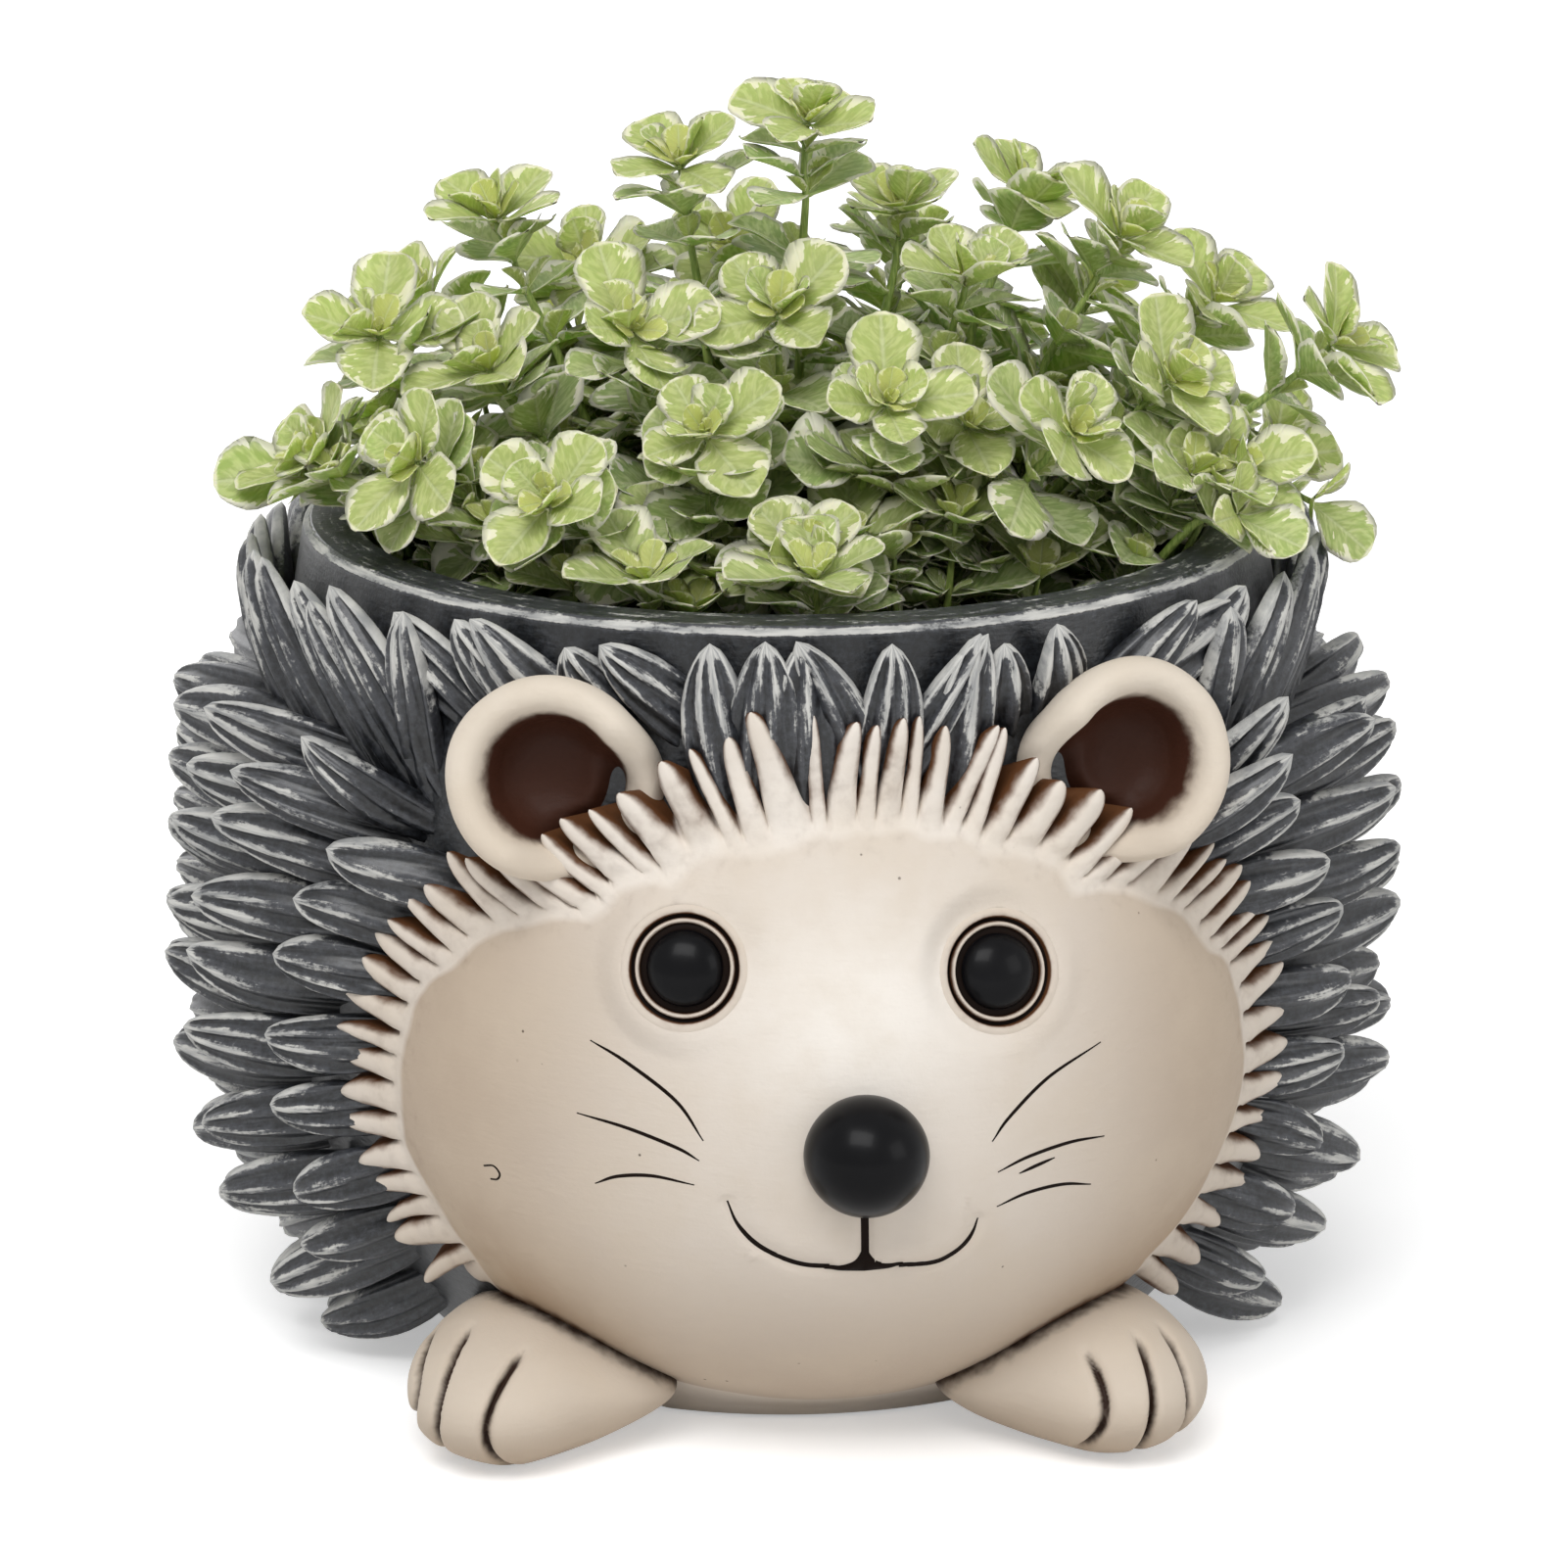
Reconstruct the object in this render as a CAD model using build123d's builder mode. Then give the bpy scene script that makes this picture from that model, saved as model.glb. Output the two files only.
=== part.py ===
from build123d import *
import os
from math import acos, atan2, cos, hypot, pi, radians, sin, sqrt

# Hedgehog planter in millimetres: pot axis on Z, ground at zero, face towards -Y

# Pot body, a barrel turned about Z
pot_height = 136
rim_radius = 78.4
rim_width = 9.5
rim_chamfer = 1.2
belly_radius = 85
belly_height = 62
foot_radius = 57
foot_width = 8
foot_recess = 4
floor_thickness = 9
cavity_waist_radius = 67
cavity_waist_height = 48
cavity_floor_radius = 46
drain_radius = 7
bedding = 0.1

# Head, turned a little to one side about the pot's axis
head_turn = 3.5
face_half_width = 68
face_half_height = 55
face_centre_height = 59

# Coat of quills
quill_rows = 14
quill_spacing = 11.5
quill_length = 26
first_quill_length = 17
collar_quill_count = 44
collar_lift = 20
collar_lean = 50
quill_width = 9.6
quill_thickness = 5
quill_sway = 5
quill_lift = 38
rump_lift = 74
rump_spread_share = 0.15
quill_margin = 8.5
quill_rim_gap = 1
quill_root_ceiling = 107
quill_ground_gap = 2
quill_clearance = 0.4

# Fringe of tufts round the face
# A pair of values is the one at the side of the face and the one at its top
tuft_count = 66
tuft_width = 5.4
tuft_thickness = 3.6
tuft_reach = (4.5, 8)
tuft_root_inset = (3, 9)
tuft_root_lift = (6, 3.5)
tuft_tip_lift = (4.5, 7.5)
tuft_unevenness = 0.18
chin_gap_share = -0.72
tuft_paw_clearance = 24
tuft_ear_clearance = 22

# Ears, eyes, nose and paws
ear_radius = 16.5
ear_roll_radius = 3.2
ear_hollow_depth = 8.5
ear_back_depth = 15
ear_half_spacing = 42
ear_height = 112
ear_stand_off = 10.5
eye_half_spacing = 24.2
eye_height = 85.4
eye_offset = -1.5
eye_tilt = 1.1
eye_depth = 91.5
eye_socket_radius = 7.8
eye_socket_depth = 3
eye_dome_radius = 5.6
nose_radius = 9.6
nose_height = 60
nose_depth = 105.5
nose_offset = 0.6
paw_half_width = 17.5
paw_half_length = 27
paw_half_height = 12
paw_half_spacing = 44.5
paw_depth = 63
paw_centre_height = 10.5
paw_turn = 20
paw_ground_gap = 0.4
toe_groove_width = 1.1
toe_groove_depth = 1.4
toe_groove_shares = (-0.05, 0.36, 0.7)
toe_fan = 14

# Drain plug
plug_shank_gap = 0.2
plug_flange_radius = 11
plug_flange_thickness = 2.2
plug_shank_shortfall = 1
plug_chamfer = 0.8

# Root ball and plant
soil_gap = 0.4
soil_below_rim = 13
plant_height = 80
stem_radius = 1.1
leaf_length = 14.5
leaf_width = 10.5
leaf_fold = 1.6
leaf_clearance = 0.8
leaf_rim_gap = 1.2
watering_gap_across = 29
watering_gap_half_width = 7
watering_gap_depth = 48

os.makedirs("parts", exist_ok=True)
rim_height_above_belly = pot_height - belly_height
mouth_radius = rim_radius - rim_width
cavity_floor_height = foot_recess + floor_thickness
soil_height = pot_height - soil_below_rim


def write(piece, label):
    piece.label = label
    export_step(piece, f"parts/{label}.step")


def wall_arc(height):
    """Radius of the barrel's upper or lower arc, and how far its centre lies from the axis."""
    end_radius = rim_radius if height > belly_height else foot_radius
    rise = rim_height_above_belly if height > belly_height else belly_height
    drop = belly_radius - end_radius
    arc_radius = (rise**2 + drop**2) / (2 * drop)
    return arc_radius, belly_radius - arc_radius


def wall_radius(height):
    """Outer radius of the bare pot at a height."""
    arc_radius, arc_offset = wall_arc(height)
    reach = arc_radius**2 - (height - belly_height) ** 2
    return arc_offset + sqrt(max(reach, 0))


def wall_normal(point):
    """Outward normal of the bare pot at a point on its wall."""
    arc_radius, arc_offset = wall_arc(point.Z)
    out = hypot(point.X, point.Y)
    slope = (out - arc_offset) / arc_radius
    return Vector(
        slope * point.X / out, slope * point.Y / out, (point.Z - belly_height) / arc_radius
    ).normalized()


def wall_point(polar, around):
    """Point of the wall seen from the belly's centre, at an angle from the face's axis."""
    ray = Vector(sin(polar) * cos(around), -cos(polar), sin(polar) * sin(around))
    near, far = 0, 2 * belly_radius
    for _ in range(40):
        middle = (near + far) / 2
        inside = middle * hypot(ray.X, ray.Y) < wall_radius(belly_height + middle * ray.Z)
        near, far = (middle, far) if inside else (near, middle)
    return Vector(near * ray.X, near * ray.Y, belly_height + near * ray.Z)


def face_edge(turn, grow=0):
    """Point of the wall on the outline of the face, at an angle round the outline."""
    x = (face_half_width + grow) * cos(turn)
    z = face_centre_height + (face_half_height + grow) * sin(turn)
    return Vector(x, -sqrt(max(wall_radius(z) ** 2 - x**2, 0)), z)


def pointed_blade(planes, half_widths, half_depths, outline_shares, ends):
    """Solid lofted through scaled copies of one outline, to a point at each of the ends."""
    with BuildPart() as blade:
        for plane, half_width, half_depth in zip(planes, half_widths, half_depths):
            with BuildSketch(plane):
                with BuildLine():
                    Polyline(
                        *[(u * half_width, v * half_depth) for u, v in outline_shares],
                        close=True,
                    )
                make_face()
        sections = [*blade.pending_faces, Vertex(*ends[-1])]
        if len(ends) > 1:
            sections = [Vertex(*ends[0])] + sections
        loft(sections=sections, ruled=True)
    return blade.part


def near(first, second, gap):
    """Whether the boxes round two solids come within a gap of each other."""
    one, two = first.bounding_box(), second.bounding_box()
    return all(
        low - gap < high
        for low, high in (
            (one.min.X, two.max.X),
            (two.min.X, one.max.X),
            (one.min.Y, two.max.Y),
            (two.min.Y, one.max.Y),
            (one.min.Z, two.max.Z),
            (two.min.Z, one.max.Z),
        )
    )


def clears(piece, others, gap):
    """Whether a piece stays further than a gap from every other one."""
    return all(piece.distance_to(other) > gap for other in others if near(piece, other, gap))


# Pot shell, open at the top with a drain hole through the floor
with BuildPart() as pot_shell:
    with BuildSketch(Plane.XZ):
        with BuildLine():
            foot_point = (foot_radius, 0)
            belly_point = (belly_radius, belly_height)
            rim_point = (rim_radius, pot_height)
            waist_point = (cavity_waist_radius, cavity_waist_height)
            mouth_point = (mouth_radius, pot_height)
            TangentArc(belly_point, foot_point, tangent=(0, -1))
            TangentArc(belly_point, rim_point, tangent=(0, 1))
            Line(rim_point, mouth_point)
            Line(mouth_point, waist_point)
            draft = (cavity_waist_radius - mouth_radius, cavity_waist_height - pot_height)
            TangentArc(waist_point, (cavity_floor_radius, cavity_floor_height), tangent=draft)
            Polyline(
                (cavity_floor_radius, cavity_floor_height),
                (drain_radius, cavity_floor_height),
                (drain_radius, foot_recess),
                (foot_radius - foot_width, foot_recess),
                (foot_radius - foot_width, 0),
                foot_point,
            )
        make_face()
    revolve(axis=Axis.Z)
    rim_edges = pot_shell.edges().filter_by(GeomType.CIRCLE).group_by(Axis.Z)[-1]
    chamfer(rim_edges, length=rim_chamfer)
write(pot_shell.part, "pot_shell")

# Solid form of the bare pot, used to trim what is bedded on its wall
with BuildPart() as wall_form:
    with BuildSketch(Plane.XZ):
        with BuildLine():
            grown_foot = (foot_radius + bedding, 0)
            grown_belly = (belly_radius + bedding, belly_height)
            grown_rim = (rim_radius + bedding, pot_height)
            TangentArc(grown_belly, grown_foot, tangent=(0, -1))
            TangentArc(grown_belly, grown_rim, tangent=(0, 1))
            Polyline(grown_rim, (0, pot_height), (0, 0), grown_foot)
        make_face()
    revolve(axis=Axis.Z)

# Face, lofted through ellipses one behind the other and trimmed by the wall
# Each row: depth from the axis as a share of the belly radius, half width as a share of the
# face's, top and bottom as shares of the pot's height
face_section_shares = [
    (0.46, 1.05, 0.875, 0.004),
    (0.59, 1.03, 0.870, 0.008),
    (0.73, 0.965, 0.865, 0.030),
    (0.87, 0.845, 0.855, 0.070),
    (0.985, 0.675, 0.825, 0.125),
    (1.07, 0.50, 0.750, 0.185),
    (1.13, 0.35, 0.640, 0.235),
    (1.175, 0.21, 0.530, 0.300),
    (1.20, 0.11, 0.485, 0.360),
]
with BuildPart() as face_form:
    for depth_share, width_share, top_share, bottom_share in face_section_shares:
        with BuildSketch(Plane.XZ.offset(depth_share * belly_radius)):
            with Locations((0, (top_share + bottom_share) * pot_height / 2)):
                Ellipse(
                    width_share * face_half_width,
                    (top_share - bottom_share) * pot_height / 2,
                )
    loft()

eye_planes = [
    Plane(
        origin=(eye_offset + side * eye_half_spacing, -eye_depth, eye_height - side * eye_tilt),
        x_dir=(cos(radians(side * 14)), sin(radians(side * 14)), 0),
        z_dir=(side * 0.22, -0.93, 0.28),
    )
    for side in (-1, 1)
]
with BuildPart() as face_mask:
    add(face_form)
    add(wall_form, mode=Mode.SUBTRACT)
    for eye_plane in eye_planes:
        with BuildSketch(eye_plane.offset(-eye_socket_depth)):
            Circle(eye_socket_radius)
        extrude(amount=2 * eye_socket_depth, mode=Mode.SUBTRACT)
write(face_mask.part.rotate(Axis.Z, head_turn), "face_mask")

# Eyes, glossy domes seated on the floor of their sockets
with BuildPart() as eye:
    Sphere(eye_dome_radius, arc_size1=0, align=(Align.CENTER, Align.CENTER, Align.MIN))
for eye_name, eye_plane in zip(("right_eye", "left_eye"), eye_planes):
    with BuildPart() as seated_eye:
        with Locations(eye_plane.offset(bedding - eye_socket_depth)):
            add(eye)
    write(seated_eye.part.rotate(Axis.Z, head_turn), eye_name)

# Nose, a ball pressed against the tip of the face
with BuildPart() as nose:
    with Locations((nose_offset, -nose_depth, nose_height)):
        Sphere(nose_radius)
    with Locations((0, -bedding, 0)):
        add(face_form, mode=Mode.SUBTRACT)
write(nose.part.rotate(Axis.Z, head_turn), "nose")

# Ears, thick cups whose backs are trimmed by the wall and by the face
with BuildPart() as ear_form:
    with BuildSketch(Plane.XZ):
        with BuildLine():
            hollow_radius = ear_radius - 2 * ear_roll_radius
            hollow_floor_share = 0.6
            TangentArc((0, -ear_back_depth), (ear_radius, 0), tangent=(1, 0))
            Polyline(
                (ear_radius, 0),
                (ear_radius - ear_roll_radius, ear_roll_radius),
                (hollow_radius, 0),
                (hollow_floor_share * hollow_radius, -ear_hollow_depth),
                (0, -ear_hollow_depth),
                (0, -ear_back_depth),
            )
        make_face()
    revolve(axis=Axis.Z)
ear_seats = [
    Vector(
        side * ear_half_spacing,
        -sqrt(wall_radius(ear_height) ** 2 - ear_half_spacing**2),
        ear_height,
    )
    for side in (-1, 1)
]
ears = []
for ear_name, side, seat in zip(("right_ear", "left_ear"), (-1, 1), ear_seats):
    facing = Vector(0.30 * side, -0.92, 0.16).normalized()
    with BuildPart() as ear:
        with Locations(Plane(origin=seat + facing * ear_stand_off, z_dir=facing)):
            add(ear_form)
        add(wall_form, mode=Mode.SUBTRACT)
        with Locations((0, -bedding, 0)):
            add(face_form, mode=Mode.SUBTRACT)
    ears.append(ear.part)
    write(ear.part.rotate(Axis.Z, head_turn), ear_name)

# Paws, egg shapes with three grooves between the toes, nearer to the outer side
with BuildPart() as paw_form:
    Sphere(paw_half_length)
    scale(by=(paw_half_width / paw_half_length, 1, paw_half_height / paw_half_length))
groove_share = 1 - toe_groove_depth / paw_half_height
turned_face = face_form.part.rotate(Axis.Z, head_turn)
paw_seats = [Vector(side * paw_half_spacing, -paw_depth, paw_centre_height) for side in (-1, 1)]
for paw_name, side, seat in zip(("right_paw", "left_paw"), (-1, 1), paw_seats):
    with BuildPart() as toe_grooves:
        for toe_share in toe_groove_shares:
            groove_x = side * toe_share * paw_half_width
            with Locations(
                Location((groove_x, -paw_half_length, 0), (0, 0, side * toe_share * toe_fan))
            ):
                Box(toe_groove_width, 1.1 * paw_half_length, 3 * paw_half_height)
        add(scale(paw_form.part, by=groove_share, mode=Mode.PRIVATE), mode=Mode.SUBTRACT)
    with BuildPart() as paw:
        with Locations(Location(seat, (0, 0, side * paw_turn))):
            add(paw_form)
            add(toe_grooves, mode=Mode.SUBTRACT)
        add(wall_form, mode=Mode.SUBTRACT)
        with Locations((0, -bedding, 0)):
            add(turned_face, mode=Mode.SUBTRACT)
        split(bisect_by=Plane.XY.offset(paw_ground_gap), keep=Keep.TOP)
    write(paw.part, paw_name)

# Coat, rows of leaning quills that point away from the face
# A quill's section, across and outwards, as shares of its half width and half depth
quill_outline_shares = [(-1, 0), (-0.42, -0.35), (0, -1), (0.42, -0.35), (1, 0), (0, 0.7)]
quill_root_share = 0.85
quill_belly_share = 0.5
paw_clearance = paw_half_length + quill_width / 2
ear_clearance = ear_radius + quill_width / 2 + quill_rim_gap


def coat_point(turn, share):
    """Point of the coat, from the first row at the face to the middle of the back."""
    edge = face_edge(turn)
    ray = edge - Vector(0, 0, belly_height)
    step = quill_margin * wall_normal(edge).dot(ray.normalized()) / ray.length
    polar = acos(-ray.Y / ray.length) + step
    return wall_point(polar + (pi - polar) * share, atan2(ray.Z, ray.X))


def quill_plane(turn, share, sway):
    """Plane on the wall at a quill's root, with Y pointing away from the face."""
    seat = coat_point(turn, share)
    normal = wall_normal(seat)
    away = coat_point(turn, share + 0.01) - seat
    away = (away - normal * away.dot(normal)).normalized().rotate(Axis((0, 0, 0), normal), sway)
    return Plane(origin=seat + normal * bedding, x_dir=away.cross(normal), z_dir=normal)


def has_room(root, tip):
    """Whether a quill clears the rim, the ground, the ears and the paws."""
    if root.Z > quill_root_ceiling or tip.Z > pot_height - quill_rim_gap:
        return False
    if min(root.Z - quill_width / 2, tip.Z) < quill_ground_gap:
        return False
    if any((seat - point).length < ear_clearance for seat in ear_seats for point in (root, tip)):
        return False
    return all(
        (seat - point).length > paw_clearance for seat in paw_seats for point in (root, tip)
    )


def evenly_spaced_turns(share, shift, spacing):
    """Angles round the face's outline whose coat points lie one spacing apart."""
    steps = 180
    points = [coat_point(2 * pi * step / steps, share) for step in range(steps + 1)]
    reach = [0]
    for first, second in zip(points, points[1:]):
        reach.append(reach[-1] + (second - first).length)
    pitch = reach[-1] / int(reach[-1] / spacing)
    turns = []
    for step in range(steps):
        while (len(turns) + shift) * pitch < reach[step + 1]:
            part = ((len(turns) + shift) * pitch - reach[step]) / (reach[step + 1] - reach[step])
            turns.append(2 * pi * (step + part) / steps)
    return turns


def quill_solid(length, lift):
    """Quill that leans along +Y from a root in the ground plane."""
    rise, run = length * sin(lift), length * cos(lift)
    half_depth = quill_thickness / sin(lift) / 2
    return pointed_blade(
        [
            Plane.XY,
            Plane((0, quill_belly_share * run, quill_belly_share * rise)),
        ],
        [quill_root_share * quill_width / 2, quill_width / 2],
        [quill_root_share * half_depth, half_depth],
        quill_outline_shares,
        [(0, run, rise)],
    )


row_quills = []
for row in range(quill_rows):
    row_share = row / quill_rows
    rump_share = max(0, 3 * row_share - 2)
    length = first_quill_length if row == 0 else quill_length
    lift = radians(quill_lift + (rump_lift - quill_lift) * rump_share)
    spacing = quill_spacing * (1 + rump_spread_share * rump_share)
    tip = Vector(0, length * cos(lift), length * sin(lift))
    seats = []
    for number, turn in enumerate(evenly_spaced_turns(row_share, (row % 2 + 1) / 2, spacing)):
        seat_plane = quill_plane(turn, row_share, quill_sway * sin(2.4 * number + row))
        if has_room(seat_plane.origin, seat_plane.from_local_coords(tip)):
            seats.append(seat_plane)
    with BuildPart() as quill_row:
        with Locations(*seats):
            add(quill_solid(length, lift))
    print("row", row + 1, "quills", len(seats))
    row_quills += quill_row.part.solids()
    write(quill_row.part.rotate(Axis.Z, head_turn), f"quill_row_{row + 1:02d}")

# Fringe, pointed tufts that start under the skin of the face and are trimmed by it
tuft_outline_shares = [(-1, 0), (0, -1), (1, 0), (0, 1)]
tuft_belly_share = 0.45
tuft_root_share = 0.75


def blend(side_and_top, turn):
    """Value between the one at the side of the face and the one at its top or chin."""
    side, top = side_and_top
    return side + (top - side) * abs(sin(turn)) ** 2


with BuildPart() as face_fringe:
    for number in range(tuft_count):
        turn = 2 * pi * (number + 0.5) / tuft_count
        if sin(turn) < chin_gap_share:
            continue
        edge = face_edge(turn)
        out = Vector(cos(turn) / face_half_width, 0, sin(turn) / face_half_height).normalized()
        normal = wall_normal(edge)
        root = edge - out * blend(tuft_root_inset, turn) + normal * blend(tuft_root_lift, turn)
        reach = blend(tuft_reach, turn) * (1 + tuft_unevenness * sin(5 * number))
        tip = edge + out * reach + normal * blend(tuft_tip_lift, turn)
        if any((seat - tip).length < tuft_ear_clearance for seat in ear_seats):
            continue
        if any((seat - tip).length < tuft_paw_clearance for seat in paw_seats):
            continue
        along = (tip - root).normalized()
        across = along.cross(normal).normalized()
        add(
            pointed_blade(
                [
                    Plane(origin=root, x_dir=across, z_dir=along),
                    Plane(
                        origin=root + (tip - root) * tuft_belly_share,
                        x_dir=across,
                        z_dir=along,
                    ),
                ],
                [tuft_root_share * tuft_width / 2, tuft_width / 2],
                [tuft_root_share * tuft_thickness / 2, tuft_thickness / 2],
                tuft_outline_shares,
                [tip],
            )
        )
    add(face_form, mode=Mode.SUBTRACT)
    add(wall_form, mode=Mode.SUBTRACT)
write(face_fringe.part.rotate(Axis.Z, head_turn), "face_fringe")

# Collar, shorter quills that lie up the wall below the rim, the longest that has room at each place
# Each size: how far below the rim the root is, and the quill's length
collar_sizes = [(16.5, 15), (11, 9.5)]


def collar_quill(around, root_drop, length):
    """Quill of the collar at an angle round the pot's axis from the front."""
    seat_height = pot_height - root_drop
    seat_radius = wall_radius(seat_height)
    seat = Vector(seat_radius * sin(around), -seat_radius * cos(around), seat_height)
    normal = wall_normal(seat)
    sideways = Vector(cos(around), sin(around), 0)
    lean = radians(collar_lean) * sin(around)
    away = normal.cross(sideways) * cos(lean) + sideways * sin(lean)
    seat_plane = Plane(origin=seat + normal * bedding, x_dir=away.cross(normal), z_dir=normal)
    return seat_plane.location * quill_solid(length, radians(collar_lift))


collar = []
for number in range(collar_quill_count):
    others = row_quills + ears + face_fringe.part.solids() + collar
    for root_drop, length in collar_sizes:
        candidate = collar_quill(2 * pi * (number + 0.5) / collar_quill_count, root_drop, length)
        if clears(candidate, others, quill_clearance):
            collar.append(candidate)
            break
print("collar quills", len(collar))
write(Compound(children=collar).rotate(Axis.Z, head_turn), "quill_collar")

# Drain plug, pushed up into the floor from the foot recess
with BuildPart() as drain_plug:
    with Locations((0, 0, foot_recess)):
        Cylinder(
            plug_flange_radius,
            plug_flange_thickness,
            align=(Align.CENTER, Align.CENTER, Align.MAX),
        )
        Cylinder(
            drain_radius - plug_shank_gap,
            floor_thickness - plug_shank_shortfall,
            align=(Align.CENTER, Align.CENTER, Align.MIN),
        )
    chamfer(
        drain_plug.edges().filter_by(GeomType.CIRCLE).sort_by(Axis.Z)[-1], length=plug_chamfer
    )
write(drain_plug.part, "drain_plug")

# Root ball, the soil cast to the cavity
with BuildPart() as soil:
    with BuildSketch(Plane.XZ):
        with BuildLine():
            soil_floor = cavity_floor_height + soil_gap
            floor_edge = (cavity_floor_radius - soil_gap, soil_floor)
            waist_edge = (cavity_waist_radius - soil_gap, cavity_waist_height)
            widening = (mouth_radius - cavity_waist_radius) / (pot_height - cavity_waist_height)
            top_radius = mouth_radius - soil_gap - widening * soil_below_rim
            TangentArc(waist_edge, floor_edge, tangent=draft)
            Polyline(floor_edge, (0, soil_floor), (0, soil_height), (top_radius, soil_height))
            Line((top_radius, soil_height), waist_edge)
        make_face()
    revolve(axis=Axis.Z)
write(soil.part, "soil")

# Plant, sprigs with leaf pairs that cross one another up the stem
# Each sprig's growing point: across and back as shares of the mouth radius, height above the
# soil as a share of the plant's height
sprig_tip_shares = [
    (-0.57, -0.74, 0.33),
    (-0.21, -0.62, 0.44),
    (0.20, -0.64, 0.50),
    (0.62, -0.64, 0.44),
    (-0.87, -0.52, 0.37),
    (-1.10, -0.10, 0.30),
    (0.00, -0.80, 0.22),
    (1.18, 0.10, 0.24),
    (-0.38, -0.36, 0.60),
    (-0.96, -0.12, 0.55),
    (-0.68, 0.22, 0.73),
    (-0.24, 0.10, 0.86),
    (0.05, -0.05, 0.97),
    (0.30, 0.22, 0.74),
    (0.42, -0.18, 0.66),
    (0.60, 0.36, 0.76),
    (0.80, 0.08, 0.71),
    (0.88, -0.32, 0.48),
    (1.06, 0.34, 0.52),
    (1.30, -0.06, 0.50),
    (-0.03, -0.30, 0.62),
    (-0.45, 0.55, 0.58),
    (-0.70, -0.24, 0.50),
    (-0.10, 0.50, 0.62),
    (0.34, 0.66, 0.60),
    (0.80, 0.68, 0.48),
    (-0.84, 0.58, 0.50),
    (-0.10, 0.86, 0.46),
    (0.40, -0.46, 0.42),
    (-0.50, 0.90, 0.40),
    (0.46, 0.98, 0.38),
    (1.02, -0.36, 0.30),
]
stem_foot_share = 0.55
stem_bend_share = 0.35
stem_taper_share = 0.4
leaf_pair_shares = [0.42, 0.68, 0.88, 1.0]
leaf_size_shares = [0.95, 1.0, 0.85, 0.6]
leaf_rise_degrees = [5, 15, 28, 55]
leaf_outline_shares = [(-1, 1), (0, 0), (1, 1), (0, -0.6)]
leaf_belly_share = 0.5


def stem_line(tip_shares):
    """Foot, bend and growing point of a sprig's stem."""
    across, back, up = tip_shares
    tip = Vector(across * mouth_radius, back * mouth_radius, soil_height + up * plant_height)
    foot = Vector(stem_foot_share * tip.X, stem_foot_share * tip.Y, soil_height)
    bend = foot + Vector(
        stem_bend_share * (tip.X - foot.X), stem_bend_share * (tip.Y - foot.Y), (tip.Z - foot.Z) / 2
    )
    return foot, bend, tip


def stem_point(line, share):
    """Point on the stem and the direction it grows there."""
    foot, bend, tip = line
    low, high, local = (foot, bend, 2 * share) if share < 0.5 else (bend, tip, 2 * share - 1)
    return low + (high - low) * local, (high - low).normalized()


def stem_solid(line):
    """Square stem, as mint and its kin have, in two straight lengths."""
    foot, bend, tip = line
    with BuildPart() as stem:
        for centre, direction, size in (
            (foot, Vector(0, 0, 1), 1),
            (bend, (tip - foot).normalized(), 1 - stem_taper_share / 2),
            (tip, (tip - bend).normalized(), 1 - stem_taper_share),
        ):
            with BuildSketch(Plane(origin=centre, x_dir=(0, 1, 0), z_dir=direction)):
                RegularPolygon(size * stem_radius, 4)
        loft(ruled=True)
    return stem.part


def leaf_solid(line, share, size, rise, heading):
    """Ovate leaf folded a little along its midrib."""
    origin, growth = stem_point(line, share)
    side = Vector(cos(heading), sin(heading), 0)
    side = (side - growth * side.dot(growth)).normalized()
    out = side * cos(rise) + growth * sin(rise)
    across = out.cross(growth).normalized()
    length = size * leaf_length
    root = origin + out * (stem_radius * (1 - stem_taper_share * share) + bedding)
    widest = Plane(origin=origin + out * length * leaf_belly_share, x_dir=across, z_dir=-out)
    return pointed_blade(
        [widest],
        [size * leaf_width / 2],
        [size * leaf_fold],
        leaf_outline_shares,
        [root, origin + out * length],
    )


def clears_pot(leaf):
    """Whether a leaf stays out of the rim and of the watering gap."""
    for corner in leaf.vertices():
        low = corner.Z < pot_height + leaf_rim_gap
        if low and hypot(corner.X, corner.Y) > mouth_radius - leaf_rim_gap:
            return False
        if corner.Z < soil_height + leaf_rim_gap:
            return False
        if abs(corner.X - watering_gap_across) < watering_gap_half_width + leaf_rim_gap:
            if corner.Y < leaf_rim_gap - watering_gap_depth:
                return False
    return True


lines = [stem_line(tip_shares) for tip_shares in sprig_tip_shares]
stems = [stem_solid(line) for line in lines]
leaves = [[] for _ in stems]
for pair in reversed(range(len(leaf_pair_shares))):
    for number, line in enumerate(lines):
        others = stems[:number] + stems[number + 1 :]
        for grown in leaves:
            others = others + grown
        heading = 2.4 * number + pair * pi / 2
        opened = []
        for half_turn in (0, pi):
            leaf = leaf_solid(
                line,
                leaf_pair_shares[pair],
                leaf_size_shares[pair],
                radians(leaf_rise_degrees[pair]),
                heading + half_turn,
            )
            if clears_pot(leaf) and clears(leaf, others, leaf_clearance):
                opened.append(leaf)
        leaves[number] += opened
for number, stem in enumerate(stems):
    print("sprig", number + 1, "leaves", len(leaves[number]))
    sprig = Compound(children=[*stem.solids(), *[leaf.solid() for leaf in leaves[number]]])
    write(sprig, f"sprig_{number + 1:02d}")
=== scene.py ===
# Hedgehog planter with a variegated herb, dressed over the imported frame
import math

import bmesh
import bpy
import numpy as np
from mathutils import Matrix, Vector, noise
from mathutils.bvhtree import BVHTree


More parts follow.
